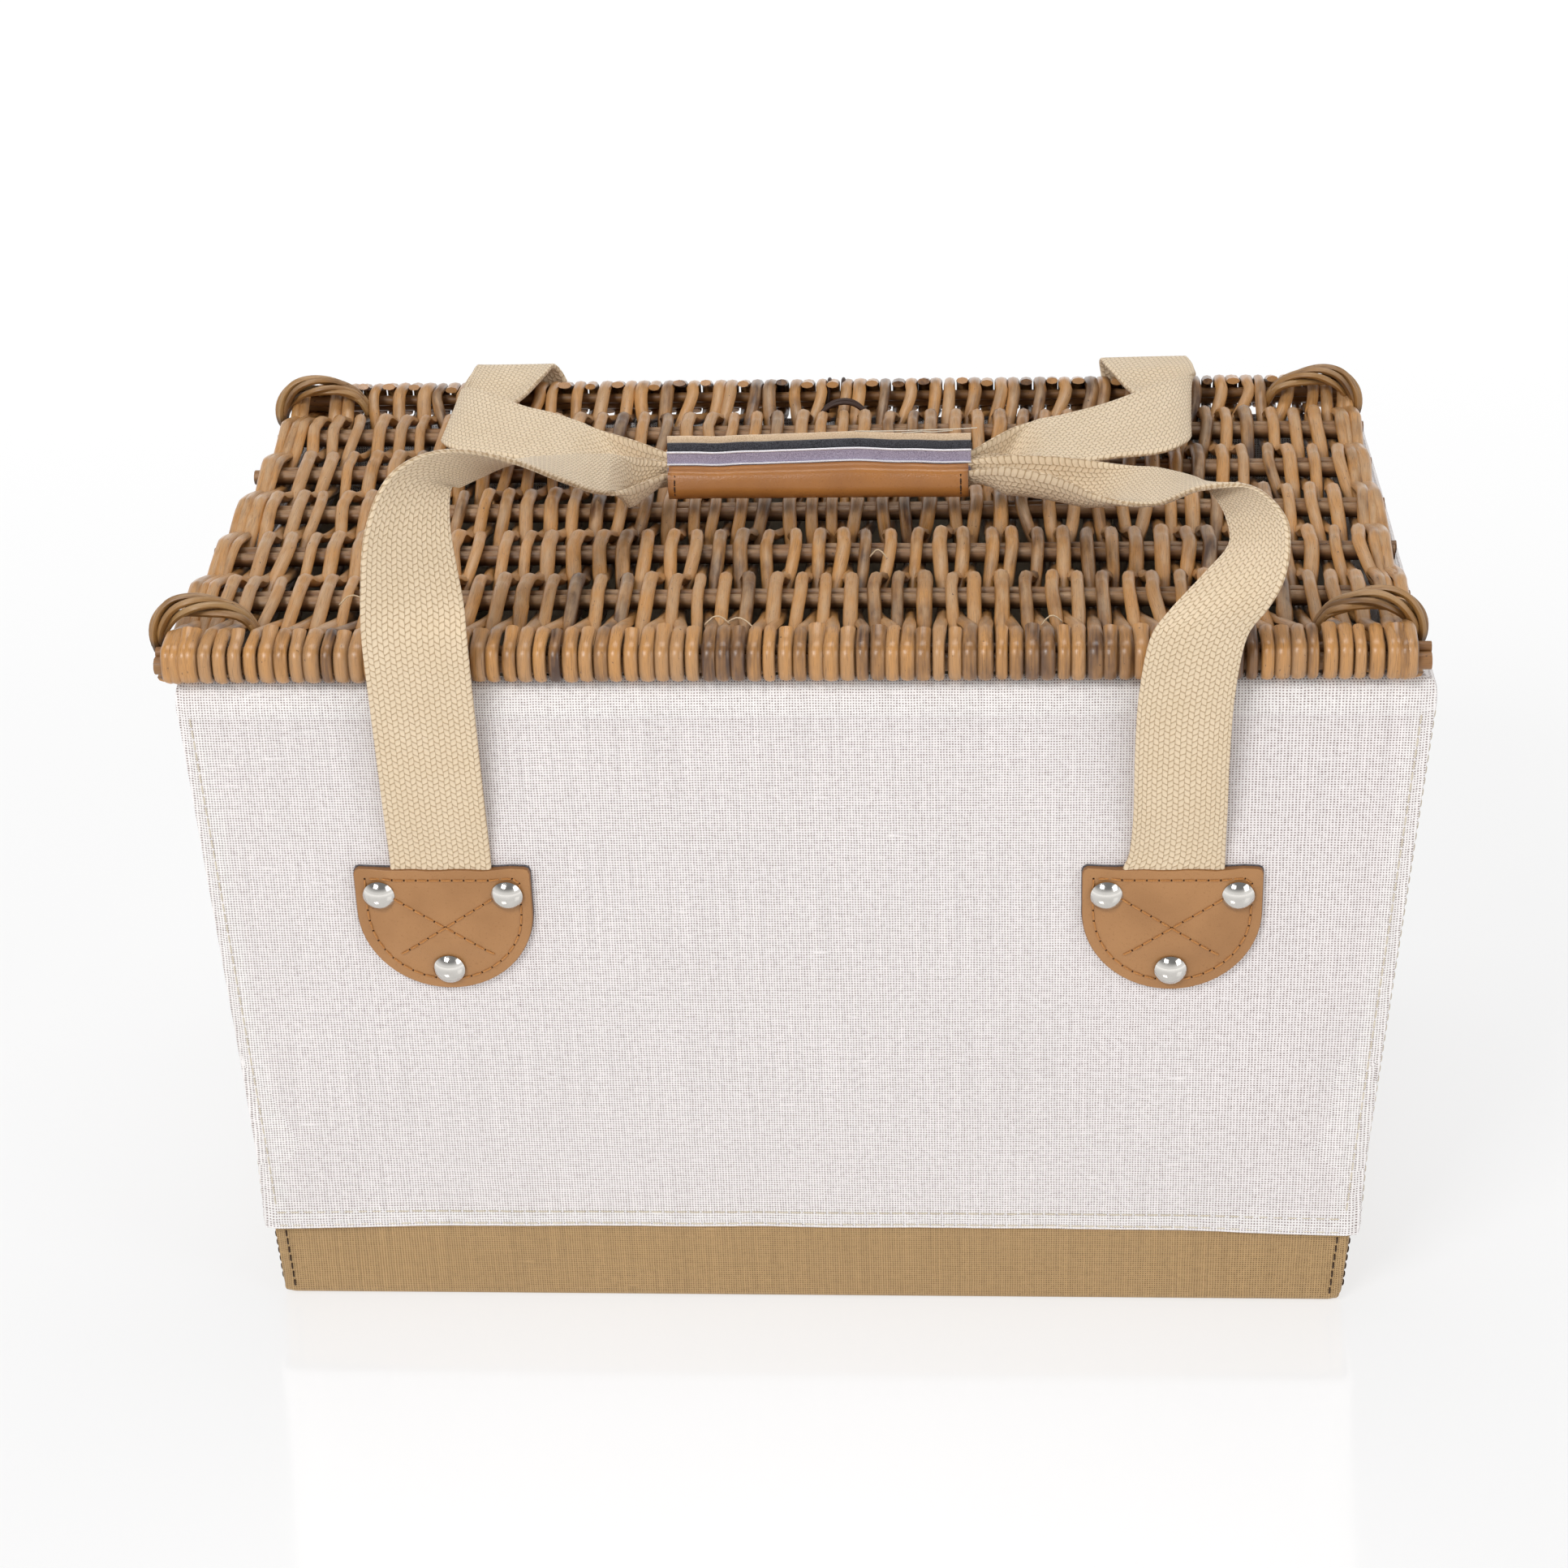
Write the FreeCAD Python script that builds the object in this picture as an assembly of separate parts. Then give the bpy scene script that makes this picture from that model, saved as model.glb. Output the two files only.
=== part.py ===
import FreeCAD, Part
import math
import os

V = FreeCAD.Vector

# ---------------------------------------------------------------- driving dimensions, millimetres
# Origin: centre of the underside.  X runs along the length, Y towards the hinge, Z up.
BASE_LENGTH = 416.0
BASE_DEPTH = 264.0
TOP_LENGTH = 450.0
TOP_DEPTH = 280.0
RIM_Z = 276.0
HEM_Z = 36.0

# Wall layers, each given as its distance inside the linen's outer face
LINEN_T = 1.0
CANVAS_T = 1.2
BOARD_T = 3.0
LAYER_GAP = 0.2
LINING_T = 0.8
BASE_CANVAS_T = 1.5
TURN_DOWN = 32.0
RIM_CAP_T = 1.4
CORNER_GAP = 1.3

CANVAS_IN = LINEN_T
BOARD_IN = CANVAS_IN + CANVAS_T
LINING_IN = BOARD_IN + BOARD_T + LAYER_GAP
TURN_IN = LINING_IN + LINING_T
WALL_TOTAL = TURN_IN + LINEN_T
WALL_TOP_Z = RIM_Z - RIM_CAP_T - LAYER_GAP

# Webbing straps and their leather tabs
STRAP_W = 38.0
STRAP_T = 2.2
TAB_W = 66.6
TAB_H = 52.0
TAB_TOP_Z = 200.0
TAB_T = 3.2
BACKING_T = 1.0
STRAP_END_LENGTH = 36.0
STRAP_END_ABOVE = 1.5
TAB_X = {"left": -131.5, "right": 140.5}

# Rivets through each tab: two beside the strap, one below it
CAP_R = 6.0
CAP_H = 3.0
SHANK_R = 1.6
HOLE_R = 1.7
WASHER_R = 5.5
WASHER_T = 1.0
RIVET_SPOTS = [(-24.2, -11.0), (24.2, -11.0), (0.0, -43.0)]

# Willow lid
LID_LENGTH = 464.0
LID_DEPTH = 292.0
LID_GAP = 0.3
BORDER_R = 8.0
ROD_R = 5.0
FIT = 0.1
LID_Z = RIM_Z + LID_GAP + BORDER_R
ROD_Y = LID_DEPTH / 2 - BORDER_R
BORDER_LENGTH = LID_LENGTH - 12.0
STAKE_R = 2.75
STAKE_SPLIT = 2.95
STAKE_YS = [-83.0, -39.0, 5.5, 50.0, 94.0]
STAKE_LENGTH = LID_LENGTH - 8.0
EDGE_ROD_R = 2.45
EDGE_ROD_LIFT = 5.35
EDGE_ROD_XS = [222.2, 227.6]
WEAVE_LENGTH = 438.0
WEAVE_T = 14.0
LOOP_R = 3.0
LOOP_SPAN_R = 17.0
LOOP_RISE = 8.0
LOOP_X = 210.0
LOOP_Y = 114.0

# Hinge ties at the back edge, and the leather anchors they are knotted to
TIE_XS = {"left": -140.0, "centre": 6.0, "right": 140.0}
TIE_W = 20.0
TIE_LENGTH = 12.0
TIE_T = 1.4
TIE_Y = 100.0
ANCHOR_H = 22.0
ANCHOR_T = 1.5
ANCHOR_TOP_Z = 272.0

# Handle pivots: the strap swings at the tab's top edge, the handle folds just above the lid's edge
SWING_Z = 204.5
FOLD_Y = 153.0
FOLD_Z = 300.0
SWING_GAP = 2.6
FOLD_GAP = 3.3

# Grip: one leather leaf on each handle, meeting over the middle of the lid
GRIP_X0 = -52.0
GRIP_X1 = 65.0
GRIP_SPLIT_Y = -10.0
GRIP_Z0 = 299.0
GRIP_Z1 = 314.0
GRIP_DEPTH = 11.0
LEATHER_T = 1.8
LEAF_GAP = 0.35
TAPE_T = 1.2
TAPE_H = 16.5

# Webbing edge pairs (outer edge, inner edge) above the fold, from the fold to the grip.
# "Outer" is the edge nearer the basket's end.  The last pair lies just inside the grip, where the
# strip is cut off.
FRONT_LEFT = [
    ((-149.0, -156.5, 315.0), (-114.5, -143.0, 309.0)),
    ((-144.5, -160.0, 342.0), (-118.0, -138.0, 334.0)),
    ((-135.5, -152.5, 358.0), (-119.0, -126.5, 345.5)),
    ((-124.5, -141.0, 361.5), (-117.5, -115.5, 342.5)),
    ((-112.0, -125.0, 358.0), (-113.5, -96.5, 339.0)),
    ((-97.5, -108.0, 349.0), (-103.0, -74.5, 336.5)),
    ((-83.5, -86.0, 333.0), (-87.0, -49.5, 329.0)),
    ((-71.5, -63.0, 319.0), (-73.0, -28.5, 321.5)),
    ((-61.0, -41.0, 310.0), (-62.0, -15.0, 314.0)),
    ((-50.0, -20.0, 306.5), (-50.0, -13.5, 307.5)),
]
FRONT_RIGHT = [
    ((165.0, -160.0, 312.0), (134.0, -146.5, 305.5)),
    ((173.0, -161.0, 323.5), (147.5, -137.5, 315.0)),
    ((177.0, -155.0, 334.0), (158.5, -127.0, 322.5)),
    ((173.5, -145.0, 341.5), (158.0, -115.0, 328.5)),
    ((163.5, -128.0, 343.5), (154.5, -96.0, 330.0)),
    ((149.0, -107.5, 336.5), (149.5, -72.0, 326.5)),
    ((135.5, -86.0, 322.0), (137.0, -49.5, 322.0)),
    ((120.0, -66.5, 310.5), (121.0, -32.0, 317.5)),
    ((98.5, -42.5, 305.0), (99.5, -13.5, 312.0)),
    ((78.0, -26.0, 304.0), (78.5, -11.5, 309.0)),
    ((63.0, -20.0, 305.5), (63.0, -13.5, 307.0)),
]
BACK_LEFT = [
    ((-151.0, 147.0, 300.0), (-115.0, 148.5, 300.0)),
    ((-152.5, 134.0, 301.0), (-119.0, 131.0, 301.0)),
    ((-151.5, 121.0, 301.0), (-127.0, 106.0, 298.5)),
    ((-150.0, 111.0, 302.5), (-138.5, 82.0, 298.0)),
    ((-149.0, 104.0, 306.0), (-150.0, 58.0, 299.0)),
    ((-145.0, 96.0, 311.5), (-149.0, 44.0, 304.0)),
    ((-136.0, 83.0, 314.0), (-141.5, 35.0, 304.5)),
    ((-119.0, 64.0, 312.5), (-127.5, 27.5, 304.5)),
    ((-104.0, 50.5, 309.5), (-110.0, 15.5, 304.5)),
    ((-86.0, 35.0, 308.0), (-89.0, 7.0, 304.5)),
    ((-68.0, 15.0, 307.0), (-69.0, -1.0, 306.0)),
    ((-50.0, -0.5, 306.5), (-50.0, -7.0, 307.5)),
]
BACK_RIGHT = [
    ((160.0, 147.0, 300.0), (124.0, 148.5, 300.0)),
    ((160.0, 134.0, 302.0), (126.5, 131.0, 301.5)),
    ((158.5, 122.0, 304.0), (133.0, 106.0, 299.5)),
    ((156.5, 112.0, 307.0), (144.0, 80.0, 298.5)),
    ((154.0, 103.0, 311.0), (153.5, 52.0, 301.0)),
    ((149.5, 94.0, 313.5), (150.0, 34.0, 304.0)),
    ((139.0, 82.0, 314.0), (141.0, 26.0, 304.5)),
    ((121.0, 62.5, 312.5), (126.0, 20.5, 304.5)),
    ((103.5, 47.0, 310.5), (107.0, 13.0, 304.5)),
    ((87.0, 31.0, 308.5), (89.0, 5.0, 305.0)),
    ((75.0, 14.0, 307.0), (76.0, -2.0, 306.0)),
    ((63.0, -0.5, 306.5), (63.0, -7.0, 307.0)),
]
STEPS_PER_PAIR = 3


# ---------------------------------------------------------------- helpers
def export(node, shape):
    if not shape.isValid() or shape.Volume <= 0:
        raise RuntimeError(node + " is not a valid solid")
    shape.exportStep("parts/" + node + ".step")


def half_length(z):
    return (BASE_LENGTH + (TOP_LENGTH - BASE_LENGTH) * z / RIM_Z) / 2


def half_depth(z):
    return (BASE_DEPTH + (TOP_DEPTH - BASE_DEPTH) * z / RIM_Z) / 2


def hexahedron(low, high):
    """Solid between two four-point rings listed in the same order round."""
    faces = [low, high]
    for i in range(4):
        j = (i + 1) % 4
        faces.append([low[i], low[j], high[j], high[i]])
    shell = Part.Shell([Part.Face(Part.makePolygon(ring + [ring[0]])) for ring in faces])
    solid = Part.Solid(shell)
    if solid.Volume < 0:
        solid.reverse()
    return solid


def rectangle(x0, x1, y0, y1, z):
    return [V(x0, y0, z), V(x1, y0, z), V(x1, y1, z), V(x0, y1, z)]


def frustum(inset, z0, z1):
    """The basket's tapered volume, inset on every wall, between two heights."""
    rings = []
    for z in (z0, z1):
        a = half_length(z) - inset
        b = half_depth(z) - inset
        rings.append(rectangle(-a, a, -b, b, z))
    return hexahedron(rings[0], rings[1])


def sleeve(inset, thickness, z0, z1):
    return frustum(inset, z0, z1).cut(frustum(inset + thickness, z0, z1))


def x_cylinder(radius, length, y, z, x=0.0):
    return Part.makeCylinder(radius, length, V(x - length / 2, y, z), V(1, 0, 0))


def y_cylinder(radius, length, x, z):
    return Part.makeCylinder(radius, length, V(x, -length / 2, z), V(0, 1, 0))


def on_wall(shape, x, side):
    """Place a shape drawn with +Y into the wall and Z = 0 at the tab's top edge."""
    tilt = math.degrees(math.atan2(half_depth(RIM_Z) - half_depth(0), RIM_Z))
    placed = shape.copy()
    placed.rotate(V(0, 0, 0), V(1, 0, 0), tilt)
    if side == "back":
        placed.rotate(V(0, 0, 0), V(0, 0, 1), 180)
        placed.translate(V(x, half_depth(TAB_TOP_Z), TAB_TOP_Z))
        return placed
    placed.translate(V(x, -half_depth(TAB_TOP_Z), TAB_TOP_Z))
    return placed


# ---------------------------------------------------------------- body walls
def rivet_holes():
    """Cylinders through every wall layer at every rivet."""
    holes = []
    for side in ("front", "back"):
        for x in TAB_X.values():
            for dx, dz in RIVET_SPOTS:
                drill = Part.makeCylinder(HOLE_R, 30.0, V(dx, -12.0, dz), V(0, 1, 0))
                holes.append(on_wall(drill, x, side))
    return Part.makeCompound(holes)


def end_board(sign):
    rings = []
    for z in (BASE_CANVAS_T + BOARD_T + LAYER_GAP, WALL_TOP_Z):
        a = half_length(z) - BOARD_IN
        b = half_depth(z) - BOARD_IN - BOARD_T - CORNER_GAP
        x_pair = sorted((sign * a, sign * (a - BOARD_T)))
        rings.append(rectangle(x_pair[0], x_pair[1], -b, b, z))
    return hexahedron(rings[0], rings[1])


def long_board(sign):
    rings = []
    for z in (BASE_CANVAS_T + BOARD_T + LAYER_GAP, WALL_TOP_Z):
        a = half_length(z) - BOARD_IN - BOARD_T - CORNER_GAP
        b = half_depth(z) - BOARD_IN
        y_pair = sorted((sign * b, sign * (b - BOARD_T)))
        rings.append(rectangle(-a, a, y_pair[0], y_pair[1], z))
    return hexahedron(rings[0], rings[1])


def linen_cover():
    outside = sleeve(0.0, LINEN_T, HEM_Z, RIM_Z)
    cap = sleeve(0.0, WALL_TOTAL, RIM_Z - RIM_CAP_T, RIM_Z)
    inside = sleeve(TURN_IN, LINEN_T, RIM_Z - TURN_DOWN, RIM_Z)
    return outside.fuse([cap, inside]).removeSplitter()


def lining():
    floor_z = BASE_CANVAS_T + BOARD_T + LAYER_GAP
    outer = frustum(LINING_IN, floor_z, WALL_TOP_Z)
    inner = frustum(LINING_IN + LINING_T, floor_z + LINING_T, WALL_TOP_Z + 1.0)
    return outer.cut(inner)


def build_walls():
    holes = rivet_holes()
    a = half_length(0) - CANVAS_IN
    b = half_depth(0) - CANVAS_IN
    base = Part.makeBox(2 * a, 2 * b, BASE_CANVAS_T, V(-a, -b, 0))
    export("base_canvas", base)
    board_a = a - CANVAS_T - 2 * LAYER_GAP
    board_b = b - CANVAS_T - 2 * LAYER_GAP
    board = Part.makeBox(2 * board_a, 2 * board_b, BOARD_T, V(-board_a, -board_b, BASE_CANVAS_T))
    export("base_board", board)
    export("wall_canvas", sleeve(CANVAS_IN, CANVAS_T, BASE_CANVAS_T, WALL_TOP_Z).cut(holes))
    export("linen_cover", linen_cover().cut(holes))
    export("lining", lining().cut(holes))
    export("front_board", long_board(-1).cut(holes))
    export("back_board", long_board(1).cut(holes))
    export("left_board", end_board(-1))
    export("right_board", end_board(1))


# ---------------------------------------------------------------- tabs and rivets
def tab_plate(y0, thickness):
    """D-shaped plate: a straight top edge, short sides and a half-round foot."""
    r = TAB_W / 2
    straight = TAB_H - r
    top_left = V(-r, y0, 0)
    top_right = V(r, y0, 0)
    low_right = V(r, y0, -straight)
    low_left = V(-r, y0, -straight)
    edges = [
        Part.LineSegment(top_left, top_right).toShape(),
        Part.LineSegment(top_right, low_right).toShape(),
        Part.Arc(low_right, V(0, y0, -TAB_H), low_left).toShape(),
        Part.LineSegment(low_left, top_left).toShape(),
    ]
    return Part.Face(Part.Wire(edges)).extrude(V(0, thickness, 0))


def rivet(dx, dz, front_y):
    """Domed cap on the leather with its shank running to the inside of the wall."""
    ball_r = (CAP_R ** 2 + CAP_H ** 2) / (2 * CAP_H)
    ball = Part.makeSphere(ball_r, V(dx, front_y - CAP_H + ball_r, dz))
    slab = Part.makeBox(4 * CAP_R, CAP_H, 4 * CAP_R, V(dx - 2 * CAP_R, front_y - CAP_H, dz - 2 * CAP_R))
    shank_length = -front_y + WALL_TOTAL
    shank = Part.makeCylinder(SHANK_R, shank_length, V(dx, front_y, dz), V(0, 1, 0))
    return ball.common(slab).fuse(shank).removeSplitter()


def washer(dx, dz):
    y0 = TURN_IN + LAYER_GAP
    disc = Part.makeCylinder(WASHER_R, WASHER_T, V(dx, y0, dz), V(0, 1, 0))
    bore = Part.makeCylinder(HOLE_R, WASHER_T, V(dx, y0, dz), V(0, 1, 0))
    return disc.cut(bore)


def build_tabs():
    front_y = -BACKING_T - TAB_T
    strap_y = -BACKING_T - STRAP_T
    drills = [Part.makeCylinder(HOLE_R, 20.0, V(dx, -10.0, dz), V(0, 1, 0)) for dx, dz in RIVET_SPOTS]
    pocket = Part.makeBox(STRAP_W, STRAP_T, STRAP_END_LENGTH, V(-STRAP_W / 2, strap_y, -STRAP_END_LENGTH))
    tab = tab_plate(front_y, TAB_T).cut([pocket] + drills)
    backing = tab_plate(-BACKING_T, BACKING_T).cut(drills)
    end_height = STRAP_END_LENGTH + STRAP_END_ABOVE
    strap_end = Part.makeBox(STRAP_W, STRAP_T, end_height, V(-STRAP_W / 2, strap_y, -STRAP_END_LENGTH))
    for side in ("front", "back"):
        rivets = []
        washers = []
        for end, x in TAB_X.items():
            name = side + "_" + end
            export(name + "_tab", on_wall(tab, x, side))
            export(name + "_tab_backing", on_wall(backing, x, side))
            export(name + "_strap_end", on_wall(strap_end, x, side))
            rivets += [on_wall(rivet(dx, dz, front_y), x, side) for dx, dz in RIVET_SPOTS]
            washers += [on_wall(washer(dx, dz), x, side) for dx, dz in RIVET_SPOTS]
        export(side + "_rivets", Part.makeCompound(rivets))
        export(side + "_rivet_washers", Part.makeCompound(washers))


# ---------------------------------------------------------------- lid
def build_lid_frame():
    for side, y in (("front", -ROD_Y), ("back", ROD_Y)):
        export("lid_" + side + "_rod", x_cylinder(ROD_R, LID_LENGTH, y, LID_Z))
        wraps = x_cylinder(BORDER_R, BORDER_LENGTH, y, LID_Z)
        export("lid_" + side + "_border", wraps.cut(x_cylinder(ROD_R + FIT, BORDER_LENGTH, y, LID_Z)))
    for number, y in enumerate(STAKE_YS, 1):
        pair = [x_cylinder(STAKE_R, STAKE_LENGTH, y + dy, LID_Z) for dy in (-STAKE_SPLIT, STAKE_SPLIT)]
        export("lid_stake_pair_" + str(number), Part.makeCompound(pair))
    rod_length = 2 * (ROD_Y - BORDER_R - 2 * LAYER_GAP)
    for end, sign in (("left", -1), ("right", 1)):
        rods = []
        for x in EDGE_ROD_XS:
            for lift in (-EDGE_ROD_LIFT, EDGE_ROD_LIFT):
                rods.append(y_cylinder(EDGE_ROD_R, rod_length, sign * x, LID_Z + lift))
        export("lid_" + end + "_edge_rods", Part.makeCompound(rods))


def build_weave():
    depth = 2 * (ROD_Y - BORDER_R - 2 * LAYER_GAP)
    corner = V(-WEAVE_LENGTH / 2, -depth / 2, LID_Z - WEAVE_T / 2)
    panel = Part.makeBox(WEAVE_LENGTH, depth, WEAVE_T, corner)
    channels = []
    for y in STAKE_YS:
        for dy in (-STAKE_SPLIT, STAKE_SPLIT):
            channels.append(x_cylinder(STAKE_R + FIT, WEAVE_LENGTH + 2.0, y + dy, LID_Z))
    export("lid_weave", panel.cut(channels))


def corner_loop(x, y):
    """Arched willow loop standing on the weave, its ends cut level with it."""
    foot_z = LID_Z + BORDER_R
    arc_r = (LOOP_SPAN_R ** 2 + LOOP_RISE ** 2) / (2 * LOOP_RISE)
    centre = V(x, y, foot_z + LOOP_RISE - arc_r)
    ring = Part.makeTorus(arc_r, LOOP_R, centre, V(0, 1, 0))
    keep = Part.makeBox(4 * LOOP_SPAN_R, 4 * LOOP_R, 40.0, V(x - 2 * LOOP_SPAN_R, y - 2 * LOOP_R, foot_z))
    return ring.common(keep)


def build_loops_and_ties():
    for side, y in (("front", -LOOP_Y), ("back", LOOP_Y)):
        for end, x in (("left", -LOOP_X), ("right", LOOP_X)):
            export("lid_" + side + "_" + end + "_loop", corner_loop(x, y))
    back_y = half_depth(ANCHOR_TOP_Z)
    for place, x in TIE_XS.items():
        tie = Part.makeBox(TIE_W, TIE_LENGTH, TIE_T, V(x - TIE_W / 2, TIE_Y, LID_Z + WEAVE_T / 2))
        ends = [edge for edge in tie.Edges if abs(edge.tangentAt(edge.FirstParameter).z) > 0.9]
        export("hinge_tie_" + place, tie.makeFillet(TIE_LENGTH / 3, ends))
        anchor = Part.makeBox(TIE_W, ANCHOR_T, ANCHOR_H, V(x - TIE_W / 2, back_y, ANCHOR_TOP_Z - ANCHOR_H))
        export("hinge_anchor_" + place, anchor)


# ---------------------------------------------------------------- straps and handles
def spline_points(points):
    """Points evenly stepped along a smooth curve through the given points."""
    curve = Part.BSplineCurve()
    curve.interpolate([V(*p) for p in points])
    count = (len(points) - 1) * STEPS_PER_PAIR
    first, last = curve.FirstParameter, curve.LastParameter
    return [curve.value(first + (last - first) * i / count) for i in range(count + 1)]


def ribbon(outer, inner, thickness):
    """Closed solid of a strip between two edge lines, made of flat triangles."""
    count = len(outer)
    rings = []
    for i in range(count):
        along = (outer[min(i + 1, count - 1)] + inner[min(i + 1, count - 1)])
        along = along - (outer[max(i - 1, 0)] + inner[max(i - 1, 0)])
        normal = along.cross(inner[i] - outer[i]).normalize() * (thickness / 2)
        rings.append([outer[i] + normal, inner[i] + normal, inner[i] - normal, outer[i] - normal])
    triangles = []
    for a, b in zip(rings, rings[1:]):
        for k in range(4):
            m = (k + 1) % 4
            triangles.append([a[k], a[m], b[m]])
            triangles.append([a[k], b[m], b[k]])
    for ring in (rings[0], rings[-1]):
        triangles.append([ring[0], ring[1], ring[2]])
        triangles.append([ring[0], ring[2], ring[3]])
    faces = [Part.Face(Part.makePolygon(t + [t[0]])) for t in triangles]
    shell = Part.makeShell(faces)
    shell.sewShape()
    solid = Part.Solid(shell)
    if solid.Volume < 0:
        solid.reverse()
    return solid


def strap_run(end, side):
    """Straight webbing from the tab's top edge to the fold above the lid's edge."""
    sign = -1 if side == "front" else 1
    foot = V(0, sign * (half_depth(SWING_Z) + BACKING_T + STRAP_T / 2), SWING_Z)
    head = V(0, sign * FOLD_Y, FOLD_Z)
    along = (head - foot).normalize()
    foot = foot + along * SWING_GAP
    head = head - along * FOLD_GAP
    x = TAB_X[end]
    edges = []
    for dx in (-STRAP_W / 2, STRAP_W / 2):
        edges.append([foot + V(x + dx, 0, 0), head + V(x + dx, 0, 0)])
    return ribbon(edges[0], edges[1], STRAP_T)


def handle_webbing(left, right, side):
    """The handle's webbing from each fold to the end of the grip."""
    sign = -1 if side == "front" else 1
    grip_start = GRIP_X0 - LAYER_GAP
    grip_zone = Part.makeBox(GRIP_X1 - GRIP_X0 + 2 * LAYER_GAP, 80.0, 40.0, V(grip_start, -50.0, 285.0))
    pieces = []
    for end, pairs in (("left", left), ("right", right)):
        reach = STRAP_W / 2 if end == "right" else -STRAP_W / 2
        x = TAB_X[end]
        start = ((x + reach, sign * FOLD_Y, FOLD_Z + FOLD_GAP), (x - reach, sign * FOLD_Y, FOLD_Z + FOLD_GAP))
        full = [start] + pairs
        outer = spline_points([pair[0] for pair in full])
        inner = spline_points([pair[1] for pair in full])
        pieces.append(ribbon(outer, inner, STRAP_T).cut(grip_zone))
    return pieces


def grip_core(side):
    """The lengthwise-folded webbing held inside the leather leaf."""
    clear = LEATHER_T + LAYER_GAP
    depth = GRIP_DEPTH - clear - LEAF_GAP - TAPE_T
    y0 = GRIP_SPLIT_Y - LEAF_GAP - TAPE_T - depth if side == "front" else GRIP_SPLIT_Y + LEAF_GAP + TAPE_T
    return Part.makeBox(GRIP_X1 - GRIP_X0, depth, GRIP_Z1 - GRIP_Z0 - clear, V(GRIP_X0, y0, GRIP_Z0 + clear))


def grip_leather(side):
    """Channel of leather: an outer wall and a floor."""
    length = GRIP_X1 - GRIP_X0
    height = GRIP_Z1 - GRIP_Z0
    y_out = GRIP_SPLIT_Y - GRIP_DEPTH if side == "front" else GRIP_SPLIT_Y + GRIP_DEPTH - LEATHER_T
    wall = Part.makeBox(length, LEATHER_T, height, V(GRIP_X0, y_out, GRIP_Z0))
    y_floor = GRIP_SPLIT_Y - GRIP_DEPTH if side == "front" else GRIP_SPLIT_Y + LEAF_GAP
    floor = Part.makeBox(length, GRIP_DEPTH - LEAF_GAP, LEATHER_T, V(GRIP_X0, y_floor, GRIP_Z0))
    return wall.fuse(floor).removeSplitter()


def grip_tape(side):
    """Hook or loop tape standing on the leaf's meeting face."""
    y0 = GRIP_SPLIT_Y - LEAF_GAP - TAPE_T if side == "front" else GRIP_SPLIT_Y + LEAF_GAP
    z0 = GRIP_Z0 + LEATHER_T
    return Part.makeBox(GRIP_X1 - GRIP_X0, TAPE_T, TAPE_H, V(GRIP_X0, y0, z0))


def build_handles():
    pairs = {"front": (FRONT_LEFT, FRONT_RIGHT), "back": (BACK_LEFT, BACK_RIGHT)}
    for side, (left, right) in pairs.items():
        for end in ("left", "right"):
            export(side + "_" + end + "_strap", strap_run(end, side))
        pieces = handle_webbing(left, right, side)
        export(side + "_handle_webbing", Part.makeCompound(pieces + [grip_core(side)]))
        export(side + "_grip_leather", grip_leather(side))
        export(side + "_grip_tape", grip_tape(side))


os.makedirs("parts", exist_ok=True)
build_walls()
build_tabs()
build_lid_frame()
build_weave()
build_loops_and_ties()
build_handles()
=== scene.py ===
import math
import random

import bpy
import numpy as np
from mathutils import Matrix, Vector, noise


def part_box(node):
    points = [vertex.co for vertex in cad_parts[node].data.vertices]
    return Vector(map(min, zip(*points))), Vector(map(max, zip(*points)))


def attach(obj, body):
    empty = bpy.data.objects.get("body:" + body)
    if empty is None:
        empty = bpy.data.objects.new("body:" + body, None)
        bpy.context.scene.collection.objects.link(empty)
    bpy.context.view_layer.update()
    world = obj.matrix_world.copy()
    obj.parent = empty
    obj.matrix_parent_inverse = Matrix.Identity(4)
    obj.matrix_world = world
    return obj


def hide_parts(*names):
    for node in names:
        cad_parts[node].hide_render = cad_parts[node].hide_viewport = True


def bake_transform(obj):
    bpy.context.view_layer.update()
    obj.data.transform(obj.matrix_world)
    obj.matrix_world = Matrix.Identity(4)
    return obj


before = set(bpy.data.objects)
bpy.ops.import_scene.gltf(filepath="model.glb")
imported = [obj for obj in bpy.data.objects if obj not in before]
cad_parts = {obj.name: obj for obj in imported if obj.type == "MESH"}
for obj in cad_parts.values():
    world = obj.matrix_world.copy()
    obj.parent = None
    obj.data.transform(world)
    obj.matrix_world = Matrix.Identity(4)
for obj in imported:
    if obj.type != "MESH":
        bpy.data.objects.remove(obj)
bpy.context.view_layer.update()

# Lengths below are in millimetres, in the CAD frame: X along the basket, Y to its back, Z up.
# Meshes are scaled to metres when they are made.
MM = 0.001
RNG = random.Random(41)


def cad_box(node):
    """A CAD node's box in millimetres."""
    low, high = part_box(node)
    return low / MM, high / MM


# ---------------------------------------------------------------- sizes read from the frame
COVER_LOW, COVER_HIGH = cad_box("linen_cover")
BASE_HIGH = cad_box("base_canvas")[1]
ROD_LOW, ROD_HIGH = cad_box("lid_back_rod")
GRIP_LOW, GRIP_HIGH = cad_box("front_grip_leather")
BACK_GRIP_LOW = cad_box("back_grip_leather")[0]

RIM_Z = COVER_HIGH.z
HEM_Z = COVER_LOW.z
TOP_A = COVER_HIGH.x
TOP_B = COVER_HIGH.y
CLOTH_T = 1.0
BASE_A = BASE_HIGH.x + CLOTH_T
BASE_B = BASE_HIGH.y + CLOTH_T
WALL_TOTAL = 7.2
TURN_DOWN = 32.0

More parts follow.
